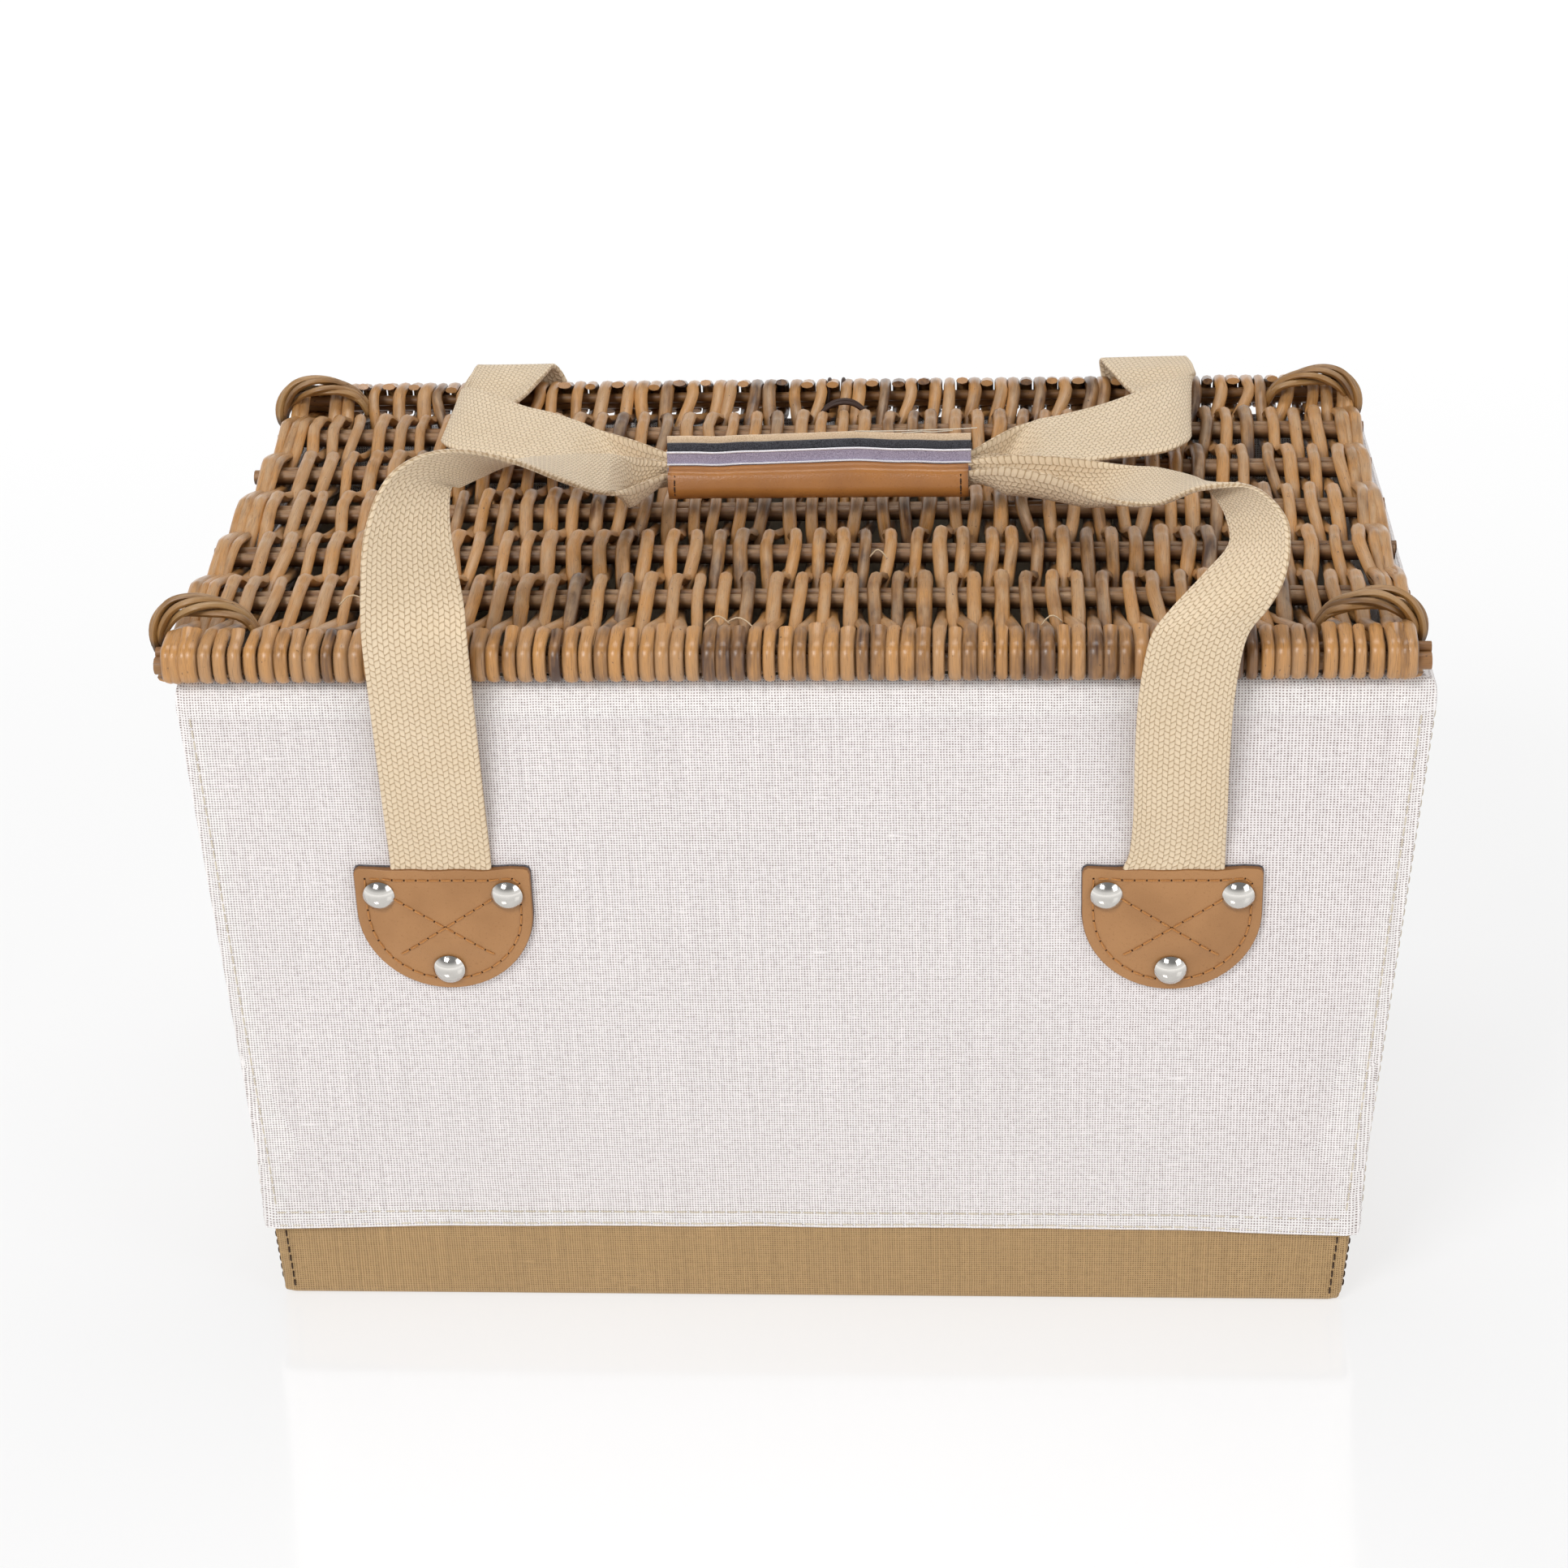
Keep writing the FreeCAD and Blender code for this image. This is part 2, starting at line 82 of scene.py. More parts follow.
LID_Z = (ROD_LOW.z + ROD_HIGH.z) / 2
ROD_Y = (ROD_LOW.y + ROD_HIGH.y) / 2
LID_A = ROD_HIGH.x
STAKE_YS = [sum(v.y for v in cad_box("lid_stake_pair_" + str(n))) / 2 for n in range(1, 6)]
STAKE_SPLIT = 2.95
TIE_Y = 106.0

TAB_W, TAB_H = 66.6, 52.0
TAB_TOP_Z = 200.0
STRAP_W, STRAP_T = 38.0, 2.2
TAB_XS = {end: sum(v.x for v in cad_box("front_" + end + "_tab")) / 2 for end in ("left", "right")}
BACKING_T = 1.0
THREAD_R = 0.38
SWING_Z = 204.5
FOLD_Y, FOLD_Z = 153.0, 300.0
GRIP_X0, GRIP_X1 = GRIP_LOW.x, GRIP_HIGH.x
GRIP_Y = (GRIP_HIGH.y + BACK_GRIP_LOW.y) / 2


def half_length(z):
    return BASE_A + (TOP_A - BASE_A) * z / RIM_Z


def half_depth(z):
    return BASE_B + (TOP_B - BASE_B) * z / RIM_Z


def panel_half(panel, z):
    """Half the width of one wall at a height.  Panels: 0 front, 1 right, 2 back, 3 left."""
    return half_length(z) if panel % 2 == 0 else half_depth(z)


def along_panel(panel):
    """Direction of X or Y that runs along one wall."""
    return (1, 0, 0) if panel % 2 == 0 else (0, 1, 0)


# ---------------------------------------------------------------- small maths helpers
def smooth(low, high, x):
    t = min(1.0, max(0.0, (x - low) / (high - low)))
    return t * t * (3 - 2 * t)


def mix(a, b, t):
    return a + (b - a) * t


def wobble(x, y=0.0, z=0.0):
    """Smooth noise from about -1 to 1."""
    return noise.noise(Vector((x, y, z)))


def through(points, step):
    """A smooth line through the points (Catmull-Rom), sampled about every step."""
    pts = [np.array(p, float) for p in points]
    pts = [2 * pts[0] - pts[1]] + pts + [2 * pts[-1] - pts[-2]]
    line = []
    for i in range(1, len(pts) - 2):
        p0, p1, p2, p3 = pts[i - 1:i + 3]
        count = max(1, int(round(np.linalg.norm((p2 - p1)[:3]) / step)))
        for k in range(count):
            t = k / count
            line.append(0.5 * (2 * p1 + (p2 - p0) * t + (2 * p0 - 5 * p1 + 4 * p2 - p3) * t ** 2
                               + (3 * p1 - p0 - 3 * p2 + p3) * t ** 3))
    line.append(pts[-2])
    return np.array(line)


def srgb(r, g, b):
    """Linear colour with alpha from an 8-bit display colour."""
    def linear(c):
        c /= 255.0
        return c / 12.92 if c <= 0.04045 else ((c + 0.055) / 1.055) ** 2.4
    return (linear(r), linear(g), linear(b), 1.0)


# ---------------------------------------------------------------- mesh building
class Shape:
    """Vertices, faces, and the values that the materials read."""

    def __init__(self):
        self.points = []
        self.faces = []
        self.uvs = []
        self.grain = []
        self.tone = []
        self.tint_and_painted_light = []

    def vertex(self, p, grain=(0, 0, 0), tone=0.5, tint_and_painted_light=0.0):
        self.points.append(tuple(p))
        self.grain.append(tuple(grain))
        self.tone.append(tone)
        self.tint_and_painted_light.append(tint_and_painted_light)
        return len(self.points) - 1

    def face(self, corners, uv=None):
        self.faces.append(tuple(corners))
        self.uvs.append(uv or [(0.0, 0.0)] * len(corners))

    def tube(self, line, radii, hint, sides=8, tone=0.5, tint_and_painted_light=None):
        """A rod along a line, with one (half width, half height) in radii for each point.

        hint is roughly the direction of its width."""
        line = [np.array(p, float)[:3] for p in line]
        hint = np.array(hint, float)
        count = len(line)
        along = self.uid() * 0.137
        rings = []
        for i in range(count):
            t = line[min(i + 1, count - 1)] - line[max(i - 1, 0)]
            t /= np.linalg.norm(t) + 1e-9
            side = hint - t * hint.dot(t)
            side /= np.linalg.norm(side) + 1e-9
            up = np.cross(t, side)
            if i:
                along += np.linalg.norm(line[i] - line[i - 1]) * MM
            a, b = radii[i]
            ring = []
            for k in range(sides):
                angle = 2 * math.pi * k / sides
                offset = side * (a * math.cos(angle)) + up * (b * math.sin(angle))
                p = line[i] + offset
                vertex_tint_and_light = tint_and_painted_light(p, offset) if tint_and_painted_light else 0.0
                ring.append(self.vertex(p, (along, offset.dot(side) * MM, offset.dot(up) * MM), tone, vertex_tint_and_light))
            rings.append(ring)
        for low, high in zip(rings, rings[1:]):
            for k in range(sides):
                m = (k + 1) % sides
                self.face((low[k], low[m], high[m], high[k]))
        self.face(tuple(reversed(rings[0])))
        self.face(tuple(rings[-1]))
        return rings

    def uid(self):
        return len(self.faces) % 9973

    def make(self, name, material, sharp_angle=None):
        mesh = bpy.data.meshes.new(name)
        mesh.from_pydata([(x * MM, y * MM, z * MM) for x, y, z in self.points], [], self.faces)
        layer = mesh.uv_layers.new(name="UVMap")
        flat = [c for uv in self.uvs for pair in uv for c in pair]
        layer.data.foreach_set("uv", flat)
        attribute = mesh.attributes.new("grain", "FLOAT_VECTOR", "POINT")
        attribute.data.foreach_set("vector", [c for g in self.grain for c in g])
        for key, values in (("tone", self.tone), ("tint_and_painted_light", self.tint_and_painted_light)):
            attribute = mesh.attributes.new(key, "FLOAT", "POINT")
            attribute.data.foreach_set("value", values)
        mesh.polygons.foreach_set("use_smooth", [True] * len(mesh.polygons))
        mesh.validate()
        mesh.update()
        if sharp_angle:
            mesh.set_sharp_from_angle(angle=math.radians(sharp_angle))
        obj = bpy.data.objects.new(name, mesh)
        bpy.context.scene.collection.objects.link(obj)
        mesh.materials.append(material)
        return obj


def finished(obj, body, slot_name, *replaced):
    """Ride and stand in for the CAD nodes."""
    if body:
        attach(obj, body)
    if replaced:
        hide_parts(*replaced)
    return obj


def paint_node(node, material):
    """Give a CAD node that is shown as it is its material."""
    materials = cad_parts[node].data.materials
    materials.clear()
    materials.append(material)


# ---------------------------------------------------------------- materials
class Shader:
    """Short-hand for one material's node tree."""

    def __init__(self, name, roughness=0.6, metallic=0.0, specular=0.5, sheen=0.0, coat=0.0,
                 coat_roughness=0.2):
        self.material = bpy.data.materials.new(name)
        self.material.use_nodes = True
        self.tree = self.material.node_tree
        self.out = self.tree.nodes["Principled BSDF"]
        values = {"Roughness": roughness, "Metallic": metallic, "Specular IOR Level": specular,
                  "Sheen Weight": sheen, "Coat Weight": coat, "Coat Roughness": coat_roughness}
        for key, value in values.items():
            self.out.inputs[key].default_value = value

    def put(self, socket, value):
        if hasattr(value, "is_linked"):
            self.tree.links.new(value, socket)
        else:
            socket.default_value = value

    def node(self, kind, **inputs):
        made = self.tree.nodes.new(kind)
        for key, value in inputs.items():
            name = key.replace("_", " ")
            self.put(made.inputs[name], value)
        return made

    def attribute(self, name, output="Fac"):
        made = self.tree.nodes.new("ShaderNodeAttribute")
        made.attribute_name = name
        return made.outputs[output]

    def uv(self):
        made = self.tree.nodes.new("ShaderNodeUVMap")
        made.uv_map = "UVMap"
        return made.outputs["UV"]

    def math(self, operation, a, b=0.0, c=0.0):
        made = self.tree.nodes.new("ShaderNodeMath")
        made.operation = operation
        for socket, value in zip(made.inputs, (a, b, c)):
            self.put(socket, value)
        return made.outputs[0]

    def vector(self, operation, a, b=(0, 0, 0)):
        made = self.tree.nodes.new("ShaderNodeVectorMath")
        made.operation = operation
        self.put(made.inputs[0], a)
        self.put(made.inputs[1], b)
        return made.outputs[0]

    def split(self, v):
        return self.node("ShaderNodeSeparateXYZ", Vector=v).outputs

    def noise(self, v, scale=1.0, detail=2.0, roughness=0.5, colour=False):
        made = self.node("ShaderNodeTexNoise", Vector=v, Scale=scale, Detail=detail, Roughness=roughness)
        return made.outputs["Color" if colour else "Fac"]

    def span(self, value, low, high, to_low=0.0, to_high=1.0):
        """Value from low..high to the other range, smoothly and clamped."""
        made = self.tree.nodes.new("ShaderNodeMapRange")
        made.interpolation_type = "SMOOTHSTEP"
        for index, item in enumerate((value, low, high, to_low, to_high)):
            self.put(made.inputs[index], item)
        return made.outputs[0]

    def blend(self, factor, a, b, mode="MIX"):
        made = self.tree.nodes.new("ShaderNodeMix")
        made.data_type = "RGBA"
        made.blend_type = mode
        self.put(made.inputs[0], factor)
        self.put(made.inputs[6], a)
        self.put(made.inputs[7], b)
        return made.outputs[2]

    def ramp(self, factor, stops):
        made = self.tree.nodes.new("ShaderNodeValToRGB")
        self.put(made.inputs[0], factor)
        elements = made.color_ramp.elements
        while len(elements) < len(stops):
            elements.new(0.5)
        for element, (place, colour) in zip(elements, stops):
            element.position = place
            element.color = colour
        return made.outputs[0]

    def bump(self, height, strength, distance_mm):
        return self.node("ShaderNodeBump", Strength=strength, Distance=distance_mm * MM,
                         Height=height).outputs[0]

    def done(self, colour, normal=None, roughness=None):
        self.put(self.out.inputs["Base Color"], colour)
        if normal:
            self.put(self.out.inputs["Normal"], normal)
        if roughness is not None:
            self.put(self.out.inputs["Roughness"], roughness)
        return self.material


def woven_cloth(name, thread, gap, pitch, openness, streaks, bump=0.5, double=None):
    """Plain weave with threads of uneven thickness.  double is the colour of the doubled bands."""
    s = Shader(name, roughness=0.85, specular=0.25, sheen=0.15)
    uv = s.uv()
    drift = s.vector("SUBTRACT", s.noise(uv, 160.0, 3.0, colour=True), (0.5, 0.5, 0.5))
    drift = s.vector("MULTIPLY", drift, (pitch * 0.55 * MM,) * 3)
    jitter = s.vector("SUBTRACT", s.noise(uv, 1500.0, 1.0, colour=True), (0.5, 0.5, 0.5))
    jitter = s.vector("MULTIPLY", jitter, (pitch * 0.25 * MM,) * 3)
    place = s.split(s.vector("ADD", s.vector("ADD", uv, drift), jitter))
    turn = math.pi / (pitch * MM)
    warp = s.math("SINE", s.math("MULTIPLY", place[0], turn))
    weft = s.math("SINE", s.math("MULTIPLY", place[1], turn))
    warp_on = s.math("ABSOLUTE", warp)
    weft_on = s.math("ABSOLUTE", weft)
    over = s.math("MULTIPLY_ADD", s.math("MULTIPLY", warp, weft), 0.5, 0.5)
    height = s.math("ADD", s.math("MULTIPLY", warp_on, over),
                    s.math("MULTIPLY", weft_on, s.math("SUBTRACT", 1.0, over)))
    hole = s.math("SUBTRACT", 1.0, s.math("MAXIMUM", warp_on, weft_on))
    loose = s.noise(s.vector("MULTIPLY", uv, (420.0, 420.0, 1.0)), 1.0, 2.0)
    hole = s.span(s.math("ADD", hole, s.math("MULTIPLY_ADD", loose, 0.55, -0.25)), 0.16, 0.52)
    across = s.noise(s.vector("MULTIPLY", uv, (18.0, 900.0, 1.0)), 1.0, 3.0)
    down = s.noise(s.vector("MULTIPLY", uv, (900.0, 14.0, 1.0)), 1.0, 3.0)
    cloud = s.noise(uv, 14.0, 4.0)
    shade = s.math("ADD", s.math("MULTIPLY_ADD", across, streaks * 0.6, 1.0 - streaks * 0.6),
                   s.math("MULTIPLY_ADD", down, streaks * 1.7, -streaks * 0.85))
    shade = s.math("ADD", shade, s.math("MULTIPLY_ADD", cloud, streaks * 0.4, -streaks * 0.2))
    base = thread
    if double:
        base = s.blend(s.attribute("tone"), thread, double)
    base = s.blend(1.0, base, s.node("ShaderNodeCombineXYZ", X=shade, Y=shade, Z=shade).outputs[0],
                   "MULTIPLY")
    slub = s.noise(s.vector("MULTIPLY", uv, (60.0, 800.0, 1.0)), 1.0, 1.0)
    hole = s.math("MULTIPLY", hole, s.span(slub, 0.80, 0.70))
    colour = s.blend(s.math("MULTIPLY", hole, openness), base, gap)
    height = s.math("ADD", height, s.math("MULTIPLY", s.span(slub, 0.72, 0.84), 0.6))
    fuzz = s.noise(uv, 5200.0, 2.0)
    height = s.math("MULTIPLY_ADD", fuzz, 0.25, height)
    return s.done(colour, s.bump(height, bump, pitch * 0.35))


def willow(name, honey, dull, dark, gloss=0.36, coat=0.5):
    """Peeled, coated willow rod: streaks, specks, a greyer face from weathering and painted highlight;
    painted shade.
    """
    s = Shader(name, roughness=gloss, specular=0.45, coat=coat, coat_roughness=0.28)
    grain = s.attribute("grain", "Vector")
    tone = s.attribute("tone")
    weather_and_painted_light = s.attribute("tint_and_painted_light")
    streak = s.noise(s.vector("MULTIPLY", grain, (45.0, 900.0, 900.0)), 1.0, 4.0, 0.6)
    fine = s.noise(s.vector("MULTIPLY", grain, (160.0, 4200.0, 4200.0)), 1.0, 3.0, 0.6)
    cloud = s.noise(s.vector("MULTIPLY", grain, (55.0, 120.0, 120.0)), 1.0, 3.0)
    depth = s.math("ADD", s.math("MULTIPLY", tone, 0.62), s.math("MULTIPLY", cloud, 0.55))
    depth = s.math("ADD", depth, s.math("MULTIPLY_ADD", streak, 0.30, -0.30))
    colour = s.ramp(depth, [(0.12, dark), (0.42, honey), (0.62, mix_colour(honey, dull, 0.5)), (0.85, dull)])
    # paler, greyer upper faces: weathering, and a painted highlight
    pale = s.math("MULTIPLY", s.math("MAXIMUM", weather_and_painted_light, 0.0),
                  s.span(s.noise(s.vector("MULTIPLY", grain, (90.0, 260.0, 260.0)), 1.0, 3.0), 0.3, 0.7))
    colour = s.blend(s.math("MULTIPLY", pale, 0.75), colour, srgb(188, 158, 124))
    colour = s.blend(s.span(fine, 0.50, 0.30, 0.0, 0.45), colour, dark)
    # painted shade: dark brown where a rod dips into the weave, on the lid's underside, and along the seams
    # between wraps
    colour = s.blend(s.span(weather_and_painted_light, 0.0, -0.8, 0.0, 0.82), colour, srgb(52, 32, 18))
    speck = s.noise(s.vector("MULTIPLY", grain, (420.0, 700.0, 700.0)), 1.0, 2.0, 0.65)
    colour = s.blend(s.span(speck, 0.69, 0.76, 0.0, 0.8), colour, srgb(48, 30, 20))
    height = s.math("ADD", s.math("MULTIPLY", streak, 0.7), s.math("MULTIPLY", fine, 0.5))
    height = s.math("SUBTRACT", height, s.span(speck, 0.66, 0.76, 0.0, 0.6))
    rough = s.math("ADD", s.span(streak, 0.2, 0.8, gloss - 0.06, gloss + 0.14),
                   s.math("MULTIPLY", s.math("MAXIMUM", weather_and_painted_light, 0.0), 0.08))
    return s.done(colour, s.bump(height, 0.35, 0.35), rough)


def mix_colour(a, b, t):
    """Blend two colours."""
    return tuple(mix(x, y, t) for x, y in zip(a, b))


def webbing():
    """Cotton webbing: lengthwise ribs, each a column of slanting yarns."""
    s = Shader("webbing", roughness=0.82, specular=0.25, sheen=0.2)
    uv = s.uv()
    drift = s.vector("SUBTRACT", s.noise(uv, 260.0, 2.0, colour=True), (0.5, 0.5, 0.5))
    place = s.split(s.vector("ADD", uv, s.vector("MULTIPLY", drift, (0.0006, 0.0009, 0.0))))
    rib = 2.0 * MM
    yarn = 2.8 * MM
    column = s.math("DIVIDE", place[0], rib)
    inside = s.math("FRACT", column)
    odd = s.math("MODULO", s.math("FLOOR", column), 2.0)
    slant = s.math("MULTIPLY", s.math("SUBTRACT", inside, 0.5), s.math("MULTIPLY_ADD", odd, 0.7, -0.35))
    row = s.math("ADD", s.math("DIVIDE", place[1], yarn), s.math("ADD", slant, s.math("MULTIPLY", odd, 0.5)))
    round_rib = s.math("SINE", s.math("MULTIPLY", inside, math.pi))
    yarn_bump = s.math("POWER", s.math("ABSOLUTE", s.math("SINE", s.math("MULTIPLY", row, math.pi))), 0.8)
    height = s.math("MULTIPLY", s.math("POWER", round_rib, 0.3), s.math("MULTIPLY_ADD", yarn_bump, 0.85,
                                                                        0.15))
    fuzz = s.noise(uv, 3600.0, 3.0, 0.6)
    height = s.math("MULTIPLY_ADD", fuzz, 0.3, height)
    cloud = s.noise(uv, 60.0, 3.0)
    light = s.blend(cloud, srgb(220, 198, 166), srgb(231, 211, 182))
    # painted shade: the low parts between the ribs and between the yarns are darker
    colour = s.blend(s.span(height, 0.78, 0.25, 0.0, 0.9), light, srgb(168, 138, 100))
    colour = s.blend(s.span(fuzz, 0.62, 0.8, 0.0, 0.35), colour, srgb(247, 230, 196))
    return s.done(colour, s.bump(height, 0.75, 0.55))


def leather(name, base, deep, shine=0.42):
    """Smooth finished leather with a fine pebble and slight mottling."""
    s = Shader(name, roughness=shine, specular=0.42)
    v = s.node("ShaderNodeTexCoord").outputs["Object"]
    cells = s.node("ShaderNodeTexVoronoi", Vector=v, Scale=1700.0)
    pebble = s.math("ADD", cells.outputs["Distance"], s.math("MULTIPLY", s.noise(v, 900.0, 3.0), 0.9))
    cloud = s.noise(v, 45.0, 4.0)
    fleck = s.noise(v, 1300.0, 2.0)
    colour = s.blend(s.span(cloud, 0.3, 0.7), base, mix_colour(base, deep, 0.3))
    colour = s.blend(s.span(fleck, 0.58, 0.75, 0.0, 0.3), colour, deep)
    colour = s.blend(s.attribute("tint_and_painted_light"), colour, deep)
    rough = s.span(cloud, 0.2, 0.8, shine - 0.05, shine + 0.08)
    return s.done(colour, s.bump(pebble, 0.22, 0.22), rough)


def fuzzy(name, base, dark, scale=1800.0, roughness=0.95, sheen=0.3):
    """Felt, hook or loop pile, suede and twisted thread."""
    s = Shader(name, roughness=roughness, specular=0.2, sheen=sheen)
    v = s.node("ShaderNodeTexCoord").outputs["Object"]
    pile = s.noise(v, scale, 3.0, 0.7)
    cloud = s.noise(v, 90.0, 2.0)
    colour = s.blend(s.span(pile, 0.35, 0.65), dark, base)
    colour = s.blend(s.span(cloud, 0.3, 0.8, 0.0, 0.3), colour, base)
    return s.done(colour, s.bump(pile, 0.7, 0.35))


def nickel():
    """Polished nickel with faint smears and scratches."""
    s = Shader("nickel", roughness=0.12, metallic=1.0)
    v = s.node("ShaderNodeTexCoord").outputs["Object"]
    smear = s.noise(v, 260.0, 4.0, 0.6)
    scratch = s.noise(s.vector("MULTIPLY", v, (300.0, 3000.0, 3000.0)), 1.0, 2.0)
    rough = s.span(smear, 0.35, 0.75, 0.08, 0.2)
    return s.done(s.blend(smear, srgb(196, 192, 186), srgb(214, 211, 206)), s.bump(scratch, 0.03, 0.05),
                  rough)


LINEN_HOLE = srgb(126, 108, 104)
linen_material = woven_cloth("linen", srgb(238, 232, 231), LINEN_HOLE, 1.05, 0.9, 0.16, bump=0.12,
                             double=srgb(244, 240, 238))
canvas_material = woven_cloth("canvas", srgb(190, 156, 110), srgb(104, 78, 46), 0.95, 0.9, 0.26, bump=0.7)
lining_material = woven_cloth("lining", srgb(180, 169, 150), srgb(140, 128, 110), 0.55, 0.5, 0.06, bump=0.35)
board_material = fuzzy("board", srgb(150, 132, 110), srgb(110, 94, 76), 700.0)
felt_material = fuzzy("felt", srgb(104, 100, 104), srgb(58, 55, 58))
loop_material = fuzzy("loop_tape", srgb(186, 178, 200), srgb(128, 120, 142), 2600.0)
white_edge_material = fuzzy("white_edge", srgb(246, 244, 248), srgb(214, 210, 218), 2600.0)
hook_material = fuzzy("hook_tape", srgb(84, 84, 90), srgb(34, 34, 38), 2600.0)
suede_material = fuzzy("suede", srgb(232, 208, 178), srgb(206, 176, 142), 2200.0)
thread_material = fuzzy("tan_thread", srgb(206, 146, 84), srgb(158, 102, 52), 4000.0, 0.6, 0.1)
cream_thread_material = fuzzy("cream_thread", srgb(236, 226, 208), srgb(200, 188, 168), 4000.0, 0.7, 0.1)
dark_thread_material = fuzzy("dark_thread", srgb(70, 46, 26), srgb(36, 22, 12), 4000.0, 0.7, 0.1)
# painted shade: dark discs stand in for the shade inside the needle holes
needle_hole_shade_material = fuzzy("needle_hole", srgb(66, 36, 18), srgb(30, 16, 8), 4000.0, 0.9, 0.0)
lace_material = leather("lace", srgb(62, 38, 26), srgb(22, 12, 8), 0.5)
leather_material = leather("leather", srgb(170, 123, 77), srgb(126, 84, 44))
grip_material = leather("grip_leather", srgb(166, 110, 55), srgb(116, 70, 32), 0.3)
nickel_material = nickel()
webbing_material = webbing()
willow_material = willow("willow", srgb(190, 136, 74), srgb(174, 132, 88), srgb(70, 41, 19))
stake_material = willow("willow_stake", srgb(140, 96, 52), srgb(152, 116, 76), srgb(66, 42, 22), 0.5, 0.15)
fibre_material = fuzzy("willow_fibre", srgb(226, 206, 176), srgb(190, 162, 126), 3000.0, 0.7, 0.1)
loop_willow_material = willow("willow_loop", srgb(148, 106, 54), srgb(162, 128, 82), srgb(76, 48, 24), 0.45,
                              0.2)


# ---------------------------------------------------------------- woven lid
WEAVERS = 92
WEAVE_A = 216.5
WRAP_R = 6.1
WRAP_T = 1.4
B_WRAP_SHARE = 0.72


def weathering_and_painted_light(p, offset):
    """Greyer on faces that look up, away from the wrapped borders: weathering, and a painted highlight. Below
    zero is painted shade, where a rod dips into the weave and along the seams between wraps."""
    size = np.linalg.norm(offset) + 1e-9
    up = smooth(0.1, 0.9, offset[2] / size)
    inside = smooth(ROD_Y + 1.0, ROD_Y - 14.0, abs(p[1]))
    seam = smooth(0.8, 1.0, abs(offset[0]) / size)
    return (0.8 * up - smooth(LID_Z + 3.5, LID_Z - 3.5, p[2])) * inside - 0.6 * seam * (1 - inside)


def wrap_keys(sign, over, x):
    """Key points round a border rod, from the weave outwards: (x, y, z, flatness)."""
    if over:
        angles = (66, 40, 12, -14, -42, -75)
        lead = [(-14.0, 4.6 + RNG.uniform(0, 1.2)), (-6.5, 7.0 + RNG.uniform(0, 1.0))]
        tail = []
    else:
        angles = (-80, -45, -14, 14, 44, 74)
        lead = [(-8.5, -5.2)]
        tail = [(-1.5, 7.4), (-RNG.uniform(5.0, 8.5), 8.2 + RNG.uniform(0, 1.6))]
    keys = [(x, sign * (ROD_Y + dy), LID_Z + dz, 0.4) for dy, dz in lead]
    for angle in angles:
        t = math.radians(angle)
        out = (WRAP_R + 0.6) * math.copysign(abs(math.cos(t)) ** 0.55, math.cos(t))
        rise = (WRAP_R + 0.4) * math.copysign(abs(math.sin(t)) ** 0.8, math.sin(t))
        keys.append((x, sign * (ROD_Y + out), LID_Z + rise, 1.0))
    keys += [(x, sign * (ROD_Y + dy), LID_Z + dz, 1.0) for dy, dz in tail]
    return keys


def weaver_keys(parity, base_x, wrap_xs, lean, loose):
    """Key points of one rod from the front border to the back one."""
    keys = []
    front_over = parity == 1
    if wrap_xs[0] is not None:
        keys += list(reversed(wrap_keys(-1, front_over, wrap_xs[0])))
    else:
        keys.append((base_x, -ROD_Y + 2.0, LID_Z - 5.6, 0.0))
    for n, y in enumerate(STAKE_YS):
        over = (n + parity) % 2 == 0
        x = base_x + RNG.gauss(0, 0.55) + (0 if over else lean + RNG.gauss(0, 1.1)) * loose
        level = 4.9 if over else -4.9
        if over:
            rise = RNG.uniform(0.0, 0.9)
            keys.append((x, y - 7.5, LID_Z + level - 0.5, 0.0))
            keys.append((x, y + 0.5, LID_Z + level + 0.3, 0.0))
            keys.append((x + 0.15 * lean, y + 7.8, LID_Z + level + rise, 0.0))
            keys.append((x + 0.75 * lean * loose, y + 14.5, LID_Z + 1.6, 0.0))
        else:
            keys.append((x, y - 6.5, LID_Z + level, 0.0))
            keys.append((x, y + 6.0, LID_Z + level, 0.0))
    if wrap_xs[1] is not None:
        keys += wrap_keys(1, front_over, wrap_xs[1])
    else:
        keys.append((base_x, ROD_Y - 2.0, LID_Z - 5.6, 0.0))
    return keys


def rod_from_keys(shape, keys, half_width, tone, seed, wrap_half=None):
    """A willow rod through its key points, flattened where it wraps the border."""
    line = through(keys, 2.6)
    radii = []
    for i, p in enumerate(line):
        flat = min(1.0, max(0.0, p[3]))
        swell = 1 + 0.09 * wobble(i * 0.09, seed)
        knot = 0.35 * smooth(0.62, 0.8, wobble(i * 0.21, seed, 7.7))
        wide = mix(half_width, wrap_half or half_width, flat) * swell + knot
        high = mix(half_width * 0.86, WRAP_T, flat) * swell + knot
        radii.append((wide, high))
        p[0] += 0.35 * wobble(p[1] * 0.05, seed, 3.1)
        p[2] += 0.25 * wobble(p[1] * 0.06, seed, 9.4)
    shape.tube(line, radii, (1, 0, 0), 8, tone, weathering_and_painted_light)


def wrap_comb(kinds):
    """Evenly shared places along the border for the rods that wrap it, and their pitch."""
    wrapping = [i for i, wraps in enumerate(kinds) if wraps]
    pitch = 2 * (WEAVE_A + 2.5) / len(wrapping)
    places = {}
    for order, i in enumerate(wrapping):
        places[i] = -WEAVE_A - 2.5 + pitch * (order + 0.5) + RNG.uniform(-0.35, 0.35)
    return places, pitch


